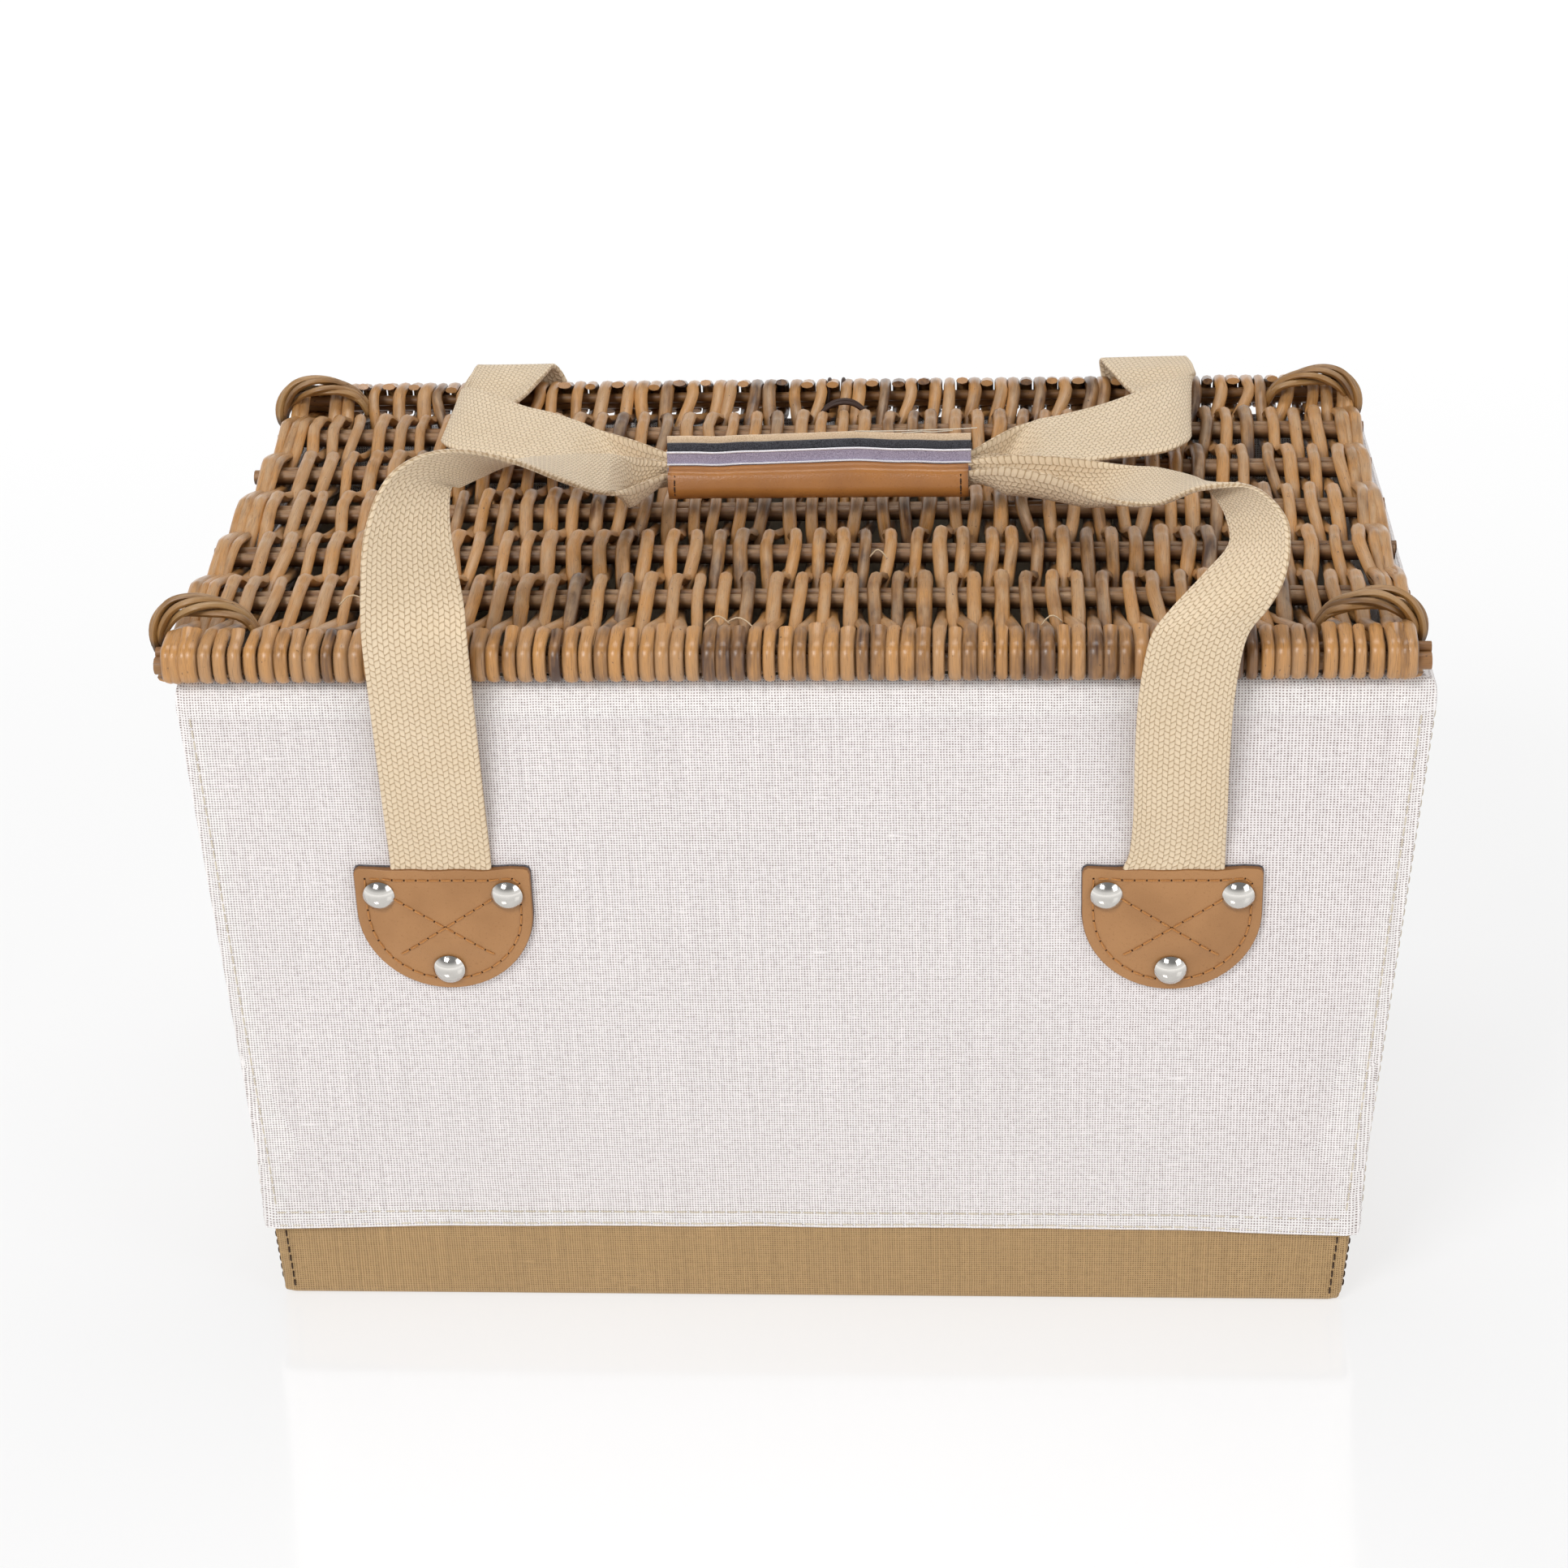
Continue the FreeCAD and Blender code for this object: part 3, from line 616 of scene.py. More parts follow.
def build_weavers():
    """The rods woven across the stakes, most of which wrap the borders."""
    shape = Shape()
    combs = []
    for _ in range(2):
        kinds, due = [], 0.5
        for i in range(WEAVERS):
            due += 0 if i % 2 else B_WRAP_SHARE + RNG.uniform(-0.2, 0.2)
            kinds.append(i % 2 == 1 or due >= 1.0)
            due -= 0 if i % 2 or due < 1.0 else 1.0
        combs.append(wrap_comb(kinds))
    for i in range(WEAVERS):
        base_x = -WEAVE_A + 2 * WEAVE_A * (i + 0.5) / WEAVERS
        lean = RNG.choice((-1, 1, 1)) * RNG.uniform(0.6, 3.0) * (-1 if base_x > 0 else 1)
        keys = weaver_keys(i % 2, base_x, [comb[0].get(i) for comb in combs], lean, 1.0)
        half = RNG.triangular(2.1, 3.15, 2.6)
        wrap_half = (combs[0][1] / 2 + 0.05) * RNG.triangular(0.72, 1.12, 1.0)
        rod_from_keys(shape, keys, half, RNG.uniform(0.05, 0.95), i * 3.7, wrap_half)
    obj = shape.make("lid_weavers", willow_material, 50)
    finished(obj, "lid", "willow", "lid_weave", "lid_front_border", "lid_back_border")


def build_stakes():
    """Five pairs of long rods from end to end."""
    for n, y in enumerate(STAKE_YS, 1):
        shape = Shape()
        for dy, radius in ((-STAKE_SPLIT, 2.95), (STAKE_SPLIT, 2.55)):
            ends = [-LID_A + RNG.uniform(1.0, 6.0), LID_A - RNG.uniform(1.0, 6.0)]
            seed = RNG.uniform(0, 99)
            line, radii = [], []
            for k in range(121):
                x = mix(ends[0], ends[1], k / 120)
                line.append((x, y + dy + 0.7 * wobble(x * 0.02, seed),
                             LID_Z + 0.5 * wobble(x * 0.03, seed, 5)))
                swell = 1 + 0.07 * wobble(x * 0.06, seed, 8)
                radii.append((radius * swell, radius * swell * 0.98))
            shape.tube(line, radii, (0, 1, 0), 10, RNG.uniform(0.3, 0.8), weathering_and_painted_light)
        obj = shape.make("lid_stakes_" + str(n), stake_material, 50)
        finished(obj, "lid", "willow_stake", "lid_stake_pair_" + str(n))


def build_border_rods():
    """The rods inside the front and back borders."""
    for side, sign in (("front", -1), ("back", 1)):
        shape = Shape()
        for dy, dz, radius in ((1.6, -1.2, 3.3), (-2.9, 1.9, 2.2)):
            seed = RNG.uniform(0, 99)
            reach = LID_A - RNG.uniform(0.0, 2.0)
            line, radii = [], []
            for k in range(121):
                x = mix(-reach, reach, k / 120)
                y = sign * (ROD_Y + dy) + 0.3 * wobble(x * 0.03, seed)
                line.append((x, y, LID_Z + dz + 0.3 * wobble(x * 0.03, seed, 4)))
                swell = 1 + 0.06 * wobble(x * 0.05, seed, 8)
                radii.append((radius * swell, radius * swell))
            shape.tube(line, radii, (0, 1, 0), 10, RNG.uniform(0.4, 0.7), weathering_and_painted_light)
        obj = shape.make("lid_" + side + "_rods", stake_material, 50)
        finished(obj, "lid", "willow_stake", "lid_" + side + "_rod")


EDGE_RODS = ((219.0, 221.0), (221.5, 223.0), (224.5, 222.0), (223.5, 226.5), (228.5, 224.5), (226.5, 229.5),
             (230.5, 229.0))
EDGE_WRAPS = (0, 3, 5)
LEFT_SQUEEZE = 0.82
RIGHT_SQUEEZE = 0.62  # the lid's right end is a little shorter than its left end


def build_edge_rods():
    """The bunched rods at both ends of the lid."""
    for end, sign in (("left", -1), ("right", 1)):
        shape = Shape()
        for j, (front_x, back_x) in enumerate(EDGE_RODS):
            parity = j % 2
            squeeze = RIGHT_SQUEEZE if sign > 0 else LEFT_SQUEEZE
            front_x, back_x = (WEAVE_A + (x - WEAVE_A) * squeeze for x in (front_x, back_x))
            wraps = j in EDGE_WRAPS
            front_end, back_end = wrap_keys(-1, parity == 1, 0.0), wrap_keys(1, parity == 1, 0.0)
            if not wraps:
                front_end = [(0.0, -ROD_Y - 1.0, LID_Z - 6.2, 0.0)]
                back_end = [(0.0, ROD_Y + 1.0, LID_Z - 6.2, 0.0)]
            keys = [(sign * front_x + k[0], k[1], k[2], k[3]) for k in reversed(front_end)]
            for n, y in enumerate(STAKE_YS):
                x = sign * (mix(front_x, back_x, (y + ROD_Y) / (2 * ROD_Y)) + RNG.uniform(-1.3, 1.3))
                level = 4.4 if (n + parity) % 2 == 0 else -4.4
                keys.append((x, y - 6.5, LID_Z + level, 0.0))
                keys.append((x + RNG.uniform(-0.8, 0.8), y + 6.5, LID_Z + level, 0.0))
            keys += [(sign * back_x + k[0], k[1], k[2], k[3]) for k in back_end]
            rod_from_keys(shape, keys, RNG.uniform(1.7, 2.6), RNG.uniform(0.2, 0.9), 400 + j * 11.3 + sign,
                          2.4)
        obj = shape.make("lid_" + end + "_edge", willow_material, 50)
        finished(obj, "lid", "willow", "lid_" + end + "_edge_rods")


def build_corner_loops():
    """Each loop is a loose twist of split rods, from inside the weave over the lid's end."""
    arch = [(-13.0, 1.0), (-9.0, 8.5), (-1.0, 12.5), (9.0, 14.0), (18.0, 11.5), (24.0, 5.0), (25.0, -2.5),
            (21.0, -8.0)]
    for side, y in (("front", -118.0), ("back", 122.0)):
        for end, sign in (("left", -1), ("right", 1)):
            shape = Shape()
            root = 209.0 if sign < 0 else 203.5
            line = through([(sign * (root + dx), y + RNG.uniform(-1.0, 1.0), LID_Z + dz, 0.0)
                            for dx, dz in arch], 1.6)
            for strand in range(6):
                phase = strand * math.pi / 3 + RNG.uniform(-0.3, 0.3)
                twisted, radii = [], []
                for k, p in enumerate(line):
                    share = k / (len(line) - 1)
                    turn = phase + share * math.pi * 1.6
                    swell = 1 + 0.25 * wobble(share * 3, phase, 2.0)
                    reach = 3.3 * (0.6 + 0.6 * math.sin(math.pi * share)) * swell
                    twisted.append((p[0] + reach * 0.5 * math.sin(turn) * sign, p[1] + reach * math.cos(turn),
                                    p[2] + reach * 0.7 * math.sin(turn)))
                    fat = 1.65 + 0.3 * wobble(share * 5, phase)
                    radii.append((fat, fat * 0.85))
                shape.tube(twisted, radii, (0, 1, 0), 8, RNG.uniform(0.2, 0.9), weathering_and_painted_light)
            name = "lid_" + side + "_" + end + "_loop"
            finished(shape.make(name + "_twist", loop_willow_material, 50), "lid", "willow_loop", name)


def build_stray_fibres():
    """A few pale splinters curling off the rods."""
    shape = Shape()
    for x, y, length in ((-30.0, -124.0, 9.0), (-22.0, -122.0, 13.0), (-168.0, -104.0, 10.0),
                         (92.0, -126.0, 8.0),
                         (128.0, 62.0, 9.0), (28.0, -60.0, 7.0), (-96.0, 40.0, 8.0)):
        angle = RNG.uniform(-0.6, 0.6)
        line = []
        for k in range(13):
            share = k / 12
            rise = 3.2 * math.sin(math.pi * share) + RNG.uniform(-0.1, 0.1)
            line.append((x + length * share * math.cos(angle), y + length * share * math.sin(angle),
                         LID_Z + 7.2 + rise))
        shape.tube(line, [(0.3, 0.22)] * 13, (0, 0, 1), 6, 0.8)
    finished(shape.make("lid_fibres", fibre_material), "lid", "willow")


def build_ties():
    """Dark laces over the weave near the back, and the rings that hold the back rod to the wall."""
    for place, mid in (("left", -140.0), ("centre", 11.0), ("right", 140.0)):
        shape = Shape()
        for dy, lift in ((-1.1, 0.0), (1.1, 0.5)):
            arch = ((-11.0, -3.0), (-9.0, 5.0), (-3.5, 9.0 + lift), (3.5, 9.2 + lift), (9.0, 5.0),
                    (11.0, -3.0))
            line = through([(mid + dx, TIE_Y + dy, LID_Z + dz) for dx, dz in arch], 1.0)
            shape.tube(line, [(1.05, 0.9)] * len(line), (0, 1, 0), 8)
        finished(shape.make("tie_" + place, lace_material), "lid", "tie_leather", "hinge_tie_" + place)
        anchor_low, anchor_high = cad_box("hinge_anchor_" + place)
        centre = (anchor_low.x + anchor_high.x) / 2
        patch = rounded_patch(anchor_high.x - anchor_low.x, anchor_high.z - anchor_low.z, 1.5, 3.0)
        middle_z = (anchor_low.z + anchor_high.z) / 2
        place_on_wall(patch, centre, middle_z, 0.05, 1)
        stitch_ring = Shape()
        points = [(dx * 7.2, dz * 8.2) for dx, dz in ((-1, -1), (1, -1), (1, 1), (-1, 1), (-1, -1))]
        for a, b in zip(points, points[1:]):
            stitch_row(stitch_ring, a, b, 2.4, lambda x, z: 1.5)
        place_on_wall(stitch_ring, centre, middle_z, 0.05, 1)
        finished(patch.make("anchor_" + place, lace_material, 40), "basket", "tie_leather",
                 "hinge_anchor_" + place)
        finished(stitch_ring.make("anchor_stitches_" + place, thread_material), "basket", "tie_leather")
        ring = Shape()
        for dx in (-3.0, 3.0):
            circle = []
            for k in range(37):
                t = 2 * math.pi * k / 36
                circle.append((centre + dx + 0.6 * math.sin(t), ROD_Y + 9.4 * math.cos(t),
                               LID_Z + 8.0 * math.sin(t)))
            ring.tube(circle, [(0.9, 0.9)] * len(circle), (1, 0, 0), 8)
            drop = through([(centre + dx * share, ROD_Y + dy, LID_Z - fall)
                            for share, dy, fall in ((1.0, 9.0, 4.0), (0.8, 7.6, 12.0), (0.5, 4.0, 19.0),
                                                    (0.5, 2.0, 22.0))], 1.5)
            ring.tube(drop, [(0.9, 0.9)] * len(drop), (1, 0, 0), 8)
        finished(ring.make("hinge_lace_" + place, lace_material), "basket", "tie_leather")


# ---------------------------------------------------------------- things sewn on the walls
def wall_frame(x, z, sign):
    """Matrix from a flat drawing (X across, Y out of the wall, Z up) to the front (-1) or back (1) wall."""
    tilt = math.atan2(TOP_B - BASE_B, RIM_Z)
    turn = Matrix.Rotation(math.pi, 4, "Z") if sign < 0 else Matrix.Identity(4)
    lean = Matrix.Rotation(-tilt, 4, "X")
    return Matrix.Translation((x, sign * half_depth(z), z)) @ turn @ lean


def place_on_wall(shape, x, z, gap, sign):
    """Move a flat drawing to its place on the front or back wall."""
    matrix = wall_frame(x, z, sign) @ Matrix.Translation((0, gap, 0))
    shape.points = [tuple(matrix @ Vector(p)) for p in shape.points]


def outline_plate(outline, thickness, round_over, height):
    """Closed plate from an outline in X and Z, with a rounded outer edge; height(x, z) lifts the face."""
    shape = Shape()
    middle = np.array(outline).mean(axis=0)
    steps = [(1.0, 0.0), (1.0, thickness - round_over)]
    size = max(np.linalg.norm(np.array(p) - middle) for p in outline)
    for k in range(1, 5):
        t = math.pi / 2 * k / 4
        steps.append((1 - round_over * (1 - math.cos(t)) / size, thickness - round_over * (1 - math.sin(t))))
    scales = [0.94, 0.88, 0.8, 0.7, 0.58, 0.45, 0.3, 0.15]
    steps += [(scale, thickness) for scale in scales]
    rings = []
    for number, (scale, y) in enumerate(steps):
        ring = []
        for p in outline:
            x, z = middle + (np.array(p) - middle) * scale
            lift = height(x, z) if y > 0 else 0.0
            edge = 1.0 if number < 4 else 0.0
            ring.append(shape.vertex((x, y + lift, z), (x * MM, z * MM, 0), 0.5, edge * 0.8))
        rings.append(ring)
    count = len(outline)
    for low, high in zip(rings, rings[1:]):
        for k in range(count):
            m = (k + 1) % count
            shape.face((low[k], low[m], high[m], high[k]))
    centre = shape.vertex((middle[0], thickness + height(*middle), middle[1]), (0, 0, 0), 0.5, 0.0)
    for k in range(count):
        shape.face((rings[-1][k], rings[-1][(k + 1) % count], centre))
    shape.face(tuple(reversed(rings[0])))
    return shape


def rounded_patch(width, tall, thickness, corner):
    """A plate with four round corners."""
    outline = []
    for quarter, (cx, cz) in enumerate(((1, 1), (-1, 1), (-1, -1), (1, -1))):
        for k in range(6):
            t = math.pi / 2 * (quarter + k / 5)
            outline.append((cx * (width / 2 - corner) + corner * math.cos(t),
                            cz * (tall / 2 - corner) + corner * math.sin(t)))
    return outline_plate(outline, thickness, 0.6, lambda x, z: 0.0)


def stitch_row(shape, a, b, pitch, lift, holes=None):
    """Short thread lengths from a to b in X and Z, each dipping into the needle holes at its ends."""
    a, b = np.array(a, float), np.array(b, float)
    length = np.linalg.norm(b - a)
    count = max(1, int(round(length / pitch)))
    for k in range(count):
        p, q = mix(a, b, k / count), mix(a, b, (k + 1) / count)
        line = []
        for s in (0.08, 0.2, 0.5, 0.8, 0.92):
            x, z = mix(p, q, s)
            line.append((x, lift(x, z) + (0.22 if 0.15 < s < 0.85 else -0.25), z))
        shape.tube(line, [(THREAD_R, THREAD_R)] * 5, (0, 1, 0), 6)
        # a dark disc at each needle hole is painted shade
        if holes is not None:
            x, z = p
            y = lift(x, z)
            holes.tube([(x, y - 0.5, z), (x, y + 0.07, z)], [(0.42, 0.42)] * 2, (1, 0, 0), 8)


def tab_outline(width, tall):
    """A D lying on its straight side: a nearly straight top and a round bottom."""
    r = width / 2
    straight = tall - r
    points = []
    for k in range(13):
        points.append((mix(-r + 2.0, r - 2.0, k / 12), 0.25 * math.sin(k * 1.7)))
    points += [(r - 0.6, -0.6), (r, -2.2)]
    points += [(r, mix(-4.0, -straight, k / 5)) for k in range(6)]
    points += [(r * math.cos(t), -straight - r * math.sin(t)) for t in np.linspace(0.07, math.pi - 0.07, 30)]
    points += [(-r, mix(-straight, -4.0, k / 5)) for k in range(6)]
    points += [(-r, -2.2), (-r + 0.6, -0.6)]
    return list(reversed(points))


def tab_lift(x, z):
    """The leather rises over the webbing sewn under it."""
    over_strap = smooth(STRAP_W / 2 + 5.0, STRAP_W / 2 - 2.0, abs(x)) * smooth(-40.0, -33.0, z)
    return 1.3 * over_strap


def build_tabs():
    """Leather tabs with their backing, stitches and needle holes; the rivets are the CAD nodes."""
    thickness = 1.9
    inset = 4.2
    outline = tab_outline(TAB_W, TAB_H)

    def on_face(x, z):
        return thickness + tab_lift(x, z)

    r = TAB_W / 2 - inset
    foot = TAB_H - TAB_W / 2
    arc = [(r * math.cos(t), -foot - r * math.sin(t)) for t in np.linspace(0, math.pi, 19)]
    seam = [(r, -inset)] + arc + [(-r, -inset), (r, -inset)]
    low = (r * 0.62, -foot - r * 0.62)
    cross = [((-r + 3, -inset - 3), low), ((r - 3, -inset - 3), (-low[0], low[1]))]
    for side, sign in (("front", -1), ("back", 1)):
        for end in ("left", "right"):
            x = TAB_XS[end]
            tab = outline_plate(outline, thickness, 0.7, tab_lift)
            backing = outline_plate([(a * 1.006, b * 1.004 + 0.35) for a, b in outline], BACKING_T, 0.25,
                                    lambda a, b: 0.0)
            threads, holes = Shape(), Shape()
            walked = []
            for a, b in zip(seam, seam[1:]):
                steps = max(1, int(np.linalg.norm(np.array(b) - a) / 0.5))
                walked += [mix(np.array(a, float), np.array(b, float), k / steps) for k in range(steps)]
            stitch = 9
            for a, b in zip(walked[::stitch], walked[stitch::stitch]):
                stitch_row(threads, a, b, 9.0, on_face, holes)
            for a, b in cross:
                stitch_row(threads, a, b, 4.4, on_face, holes)
            for part in (tab, threads, holes):
                place_on_wall(part, x, TAB_TOP_Z, BACKING_T + 0.05, sign)
            place_on_wall(backing, x, TAB_TOP_Z, 0.1, sign)
            name = side + "_" + end + "_tab"
            finished(tab.make(name + "_leather", leather_material, 40), "basket", "leather", name)
            finished(backing.make(name + "_felt", felt_material, 40), "basket", "felt", name + "_backing")
            finished(threads.make(name + "_stitches", thread_material), "basket", "leather")
            finished(holes.make(name + "_needle_holes", needle_hole_shade_material), "basket", "leather")
    for side in ("front", "back"):
        for node in (side + "_rivets", side + "_rivet_washers"):
            paint_node(node, nickel_material)


# ---------------------------------------------------------------- fabric body
CORNER_R = 4.5
SEAM_BAND = 8.0


def perimeter():
    """Stations round the walls: (panel, place across it from -1 to 1, corner share)."""
    stations = []
    for panel in range(4):
        count = 56 if panel % 2 == 0 else 36
        for share in (0.5, 0.33, 0.17, 0.0):
            stations.append((panel, -1.0, share))
        stations.append((panel, "band", -1))
        for k in range(1, count):
            stations.append((panel, -1 + 2 * k / count, 0.0))
        stations.append((panel, "band", 1))
        stations.append((panel, 1.0, 0.0))
        for share in (0.17, 0.33):
            stations.append((panel, 1.0, share))
    return stations


def stretched(x, z, inset):
    """The soft body stands a little wider at its ends than its boards, most at the top right.

    The inside stays where it is."""
    share = z / RIM_Z
    reach = mix(4.6, 9.0, share) if x > 0 else mix(5.4, 0.5, share)
    reach *= smooth(150.0, 215.0, abs(x) + 10.0 * (1 - share)) * smooth(6.0, 2.0, inset)
    return x + math.copysign(reach, x)


def station_point(station, a, b, radius):
    """X, Y, outward normal, and distance along the panel from its middle, for one station."""
    panel, place, corner = station
    half = (a if panel % 2 == 0 else b) - radius
    if place == "band":
        s, corner_share = corner * (half - SEAM_BAND + radius) / half, 0.0
    else:
        s, corner_share = place, corner
    depth = b if panel % 2 == 0 else a
    t = corner_share * math.pi / 2
    u = s * half + math.copysign(radius * t, s)
    x = s * half + math.copysign(radius * math.sin(t), s) if t else s * half
    y = -depth + radius - radius * math.cos(t)
    normal = (math.copysign(math.sin(t), s) if t else 0.0, -math.cos(t))
    for _ in range(panel):
        x, y = -y, x
        normal = (-normal[1], normal[0])
    return x, y, normal, u


def wall_band(profile, radius, offset, tone, seam_welt):
    """A closed band of cloth round the walls.  profile is (inset, z); offset and tone vary along it."""
    shape = Shape()
    stations = perimeter()
    v = 0.0
    rows = []
    for j, (inset, z) in enumerate(profile):
        if j:
            v += math.dist(profile[j], profile[j - 1])
        row = []
        for station in stations:
            a, b = half_length(z) - inset, half_depth(z) - inset
            x, y, normal, u = station_point(station, a, b, max(1.2, radius - inset))
            out = offset(station[0], u, z, inset, a if station[0] % 2 == 0 else b)
            if station[1] in (-1.0, 1.0) and station[2] == 0.5:
                out += seam_welt if inset < 2.5 else 0.0
            drop = hem_drop(station[0], u, z)
            index = shape.vertex((stretched(x + normal[0] * out, z, inset), y + normal[1] * out, z - drop),
                                 (0, 0, 0),
                                 tone(u, z, inset, a if station[0] % 2 == 0 else b))
            row.append((index, u + 1000.0 * station[0], v + profile[0][1]))
        rows.append(row)
    count = len(stations)
    for j in range(len(profile)):
        low, high = rows[j], rows[(j + 1) % len(profile)]
        for k in range(count):
            m = (k + 1) % count
            corners = [low[k], low[m], high[m], high[k]]
            if stations[k][0] != stations[m][0]:
                panel_end = corners[0][1], corners[3][1]
                uv = [(panel_end[0], corners[0][2]), (panel_end[0] + 1.2, corners[1][2]),
                      (panel_end[1] + 1.2, corners[2][2]), (panel_end[1], corners[3][2])]
            else:
                uv = [(c[1], c[2]) for c in corners]
            shape.face([c[0] for c in corners], [(p * MM, q * MM) for p, q in uv])
    return shape, rows


def hem_drop(panel, u, z):
    """The hem dips a little towards the corners."""
    if z > HEM_Z + 12.0 or z < HEM_Z - 1:
        return 0.0
    reach = TOP_A if panel % 2 == 0 else TOP_B
    dip = 2.0 * (abs(u) / reach) ** 3 + 0.35 * wobble(u * 0.03, panel * 7.0)
    return dip * smooth(HEM_Z + 12.0, HEM_Z + 2.0, z)


def linen_offset(panel, u, z, inset, half):
    """How far the linen stands out from its wall: slow waves, and a ripple and flare at the hem."""
    if inset > 2.5:
        return 0.0
    wave = 0.35 * wobble(u * 0.011, z * 0.013, panel * 9.1) + 0.12 * wobble(u * 0.05, z * 0.04, panel * 3.3)
    ripple = 0.35 * wobble(u * 0.11, 4.0, panel) * smooth(HEM_Z + 16.0, HEM_Z + 2.0, z)
    flare = 1.5 * smooth(HEM_Z + 40.0, HEM_Z, z) * smooth(half - 70.0, half, abs(u))
    return wave * smooth(half, half - 20.0, abs(u)) + ripple + flare + 0.25


def linen_tone(u, z, inset, half):
    """Doubled cloth at the seams, the rim and the hem is lighter."""
    seam = 0.8 if abs(u) > half - SEAM_BAND - 0.05 else 0.0
    rim = 0.75 if z > RIM_Z - 14.0 else 0.0
    hem = 0.6 if z < HEM_Z + 8.5 else 0.0
    return max(seam, rim, hem)


def arc_points(inset, z, wide, tall, first, last, count):
    """(inset, z) points on an ellipse about a centre, angles in degrees from straight out."""
    points = []
    for k in range(count + 1):
        t = math.radians(mix(first, last, k / count))
        points.append((inset - wide * math.cos(t), z + tall * math.sin(t)))
    return points


def build_linen():
    """The linen sleeve, turned down inside the rim, with its stitches."""
    round_w, round_h = 4.5, 10.0
    profile = [(0.3, HEM_Z), (-0.35, HEM_Z + 0.6), (-0.05, HEM_Z + 1.8), (-0.5, HEM_Z + 3.6),
               (0.05, HEM_Z + 7.2),
               (-0.3, HEM_Z + 8.4), (0.0, HEM_Z + 9.2)]
    steps = 24
    top = RIM_Z - 14.2
    profile += [(0.0, mix(HEM_Z + 12.0, top, k / steps)) for k in range(steps + 1)]
    profile += [(-0.22, top + 0.5), (-0.22, RIM_Z - round_h - 0.5)]
    profile += arc_points(round_w, RIM_Z - round_h, round_w, round_h, 5, 90, 8)
    profile += arc_points(WALL_TOTAL - 1.6, RIM_Z - 2.2, -1.6, 2.2, 80, 0, 4)
    inner_bottom = RIM_Z - TURN_DOWN
    profile += [(WALL_TOTAL, RIM_Z - 12.0), (WALL_TOTAL, inner_bottom + 5.0),
                (WALL_TOTAL + 0.25, inner_bottom + 2.0),
                (WALL_TOTAL + 0.1, inner_bottom), (WALL_TOTAL - 0.9, inner_bottom),
                (WALL_TOTAL - 0.9, RIM_Z - 8.0),
                (1.6, RIM_Z - 10.0), (1.0, RIM_Z - 16.0), (1.0, HEM_Z + 6.0), (0.95, HEM_Z)]
    shape = wall_band(profile, CORNER_R, linen_offset, linen_tone, 0.8)[0]
    finished(shape.make("linen_cover_cloth", linen_material, 45), "basket", "linen", "linen_cover")
    threads = Shape()
    for panel in range(4):
        for z in (HEM_Z + 7.2, HEM_Z + 1.8):
            half = panel_half(panel, z) - CORNER_R
            stitch_wall(threads, panel, z, -half, half, 5.0)
        for end in (-1, 1):
            stitch_seam(threads, panel, end, HEM_Z + 10, RIM_Z - 12, 4.6)
    finished(threads.make("linen_stitches", cream_thread_material), "basket", "linen")


def wall_point(panel, u, z, inset, out):
    """A point on one wall, from the place along it and the height."""
    a, b = half_length(z) - inset, half_depth(z) - inset
    depth = b if panel % 2 == 0 else a
    x, y = u, -depth - out
    for _ in range(panel):
        x, y = -y, x
    return stretched(x, z, inset), y, z - hem_drop(panel, u, z)


def stitch_wall(shape, panel, z, u0, u1, pitch):
    """A level row of machine stitches on one wall."""
    count = int((u1 - u0) / pitch)
    for k in range(count):
        line = []
        for s in (0.1, 0.28, 0.5, 0.72, 0.9):
            u = u0 + (k + s) * pitch
            out = linen_offset(panel, u, z, 0.0, TOP_A) + (0.3 if 0.2 < s < 0.8 else -0.1)
            line.append(wall_point(panel, u, z + 0.12 * wobble(u * 0.3, z), 0.0, out))
        shape.tube(line, [(0.3, 0.3)] * 5, (0, 0, 1), 6)


def stitch_seam(shape, panel, end, z0, z1, pitch):
    """Stitches beside the corner seam."""
    count = int((z1 - z0) / pitch)
    for k in range(count):
        line = []
        for s in (0.12, 0.3, 0.5, 0.7, 0.88):
            z = z0 + (k + s) * pitch
            half = panel_half(panel, z)
            u = end * (half - CORNER_R - 0.6)
            out = linen_offset(panel, u, z, 0.0, half) + (0.28 if 0.2 < s < 0.8 else -0.1)
            line.append(wall_point(panel, u, z, 0.0, out))
        shape.tube(line, [(0.28, 0.28)] * 5, along_panel(panel), 6)


def canvas_offset(panel, u, z, inset, half):
    """Slight lumps in the canvas, more at the corners."""
    if inset > 2.0:
        return 0.0
    lump = 0.5 * wobble(u * 0.035, z * 0.06, panel * 5.7)
    corner = 0.8 * wobble(u * 0.09, z * 0.12, panel * 2.2) * smooth(half - 26.0, half, abs(u))
    corner *= smooth(24.0, 4.0, z)
    return (lump + corner) * smooth(HEM_Z + 4.0, 10.0, z) * 0.8


def cap_underside(shape, rows):
    """Take off the faces that lead back to the band's start, and close its first ring with a flat face."""
    count = len(rows[0])
    shape.faces, shape.uvs = shape.faces[:-count], shape.uvs[:-count]
    ring = [c[0] for c in reversed(rows[0])]
    shape.face(ring, [(shape.points[i][0] * MM, shape.points[i][1] * MM) for i in ring])


def thickened(obj, thickness_mm):
    """Give a one-sided cloth its thickness."""
    cloth = obj.modifiers.new("cloth", "SOLIDIFY")
    cloth.thickness = thickness_mm * MM
    cloth.offset = -1.0
    return obj


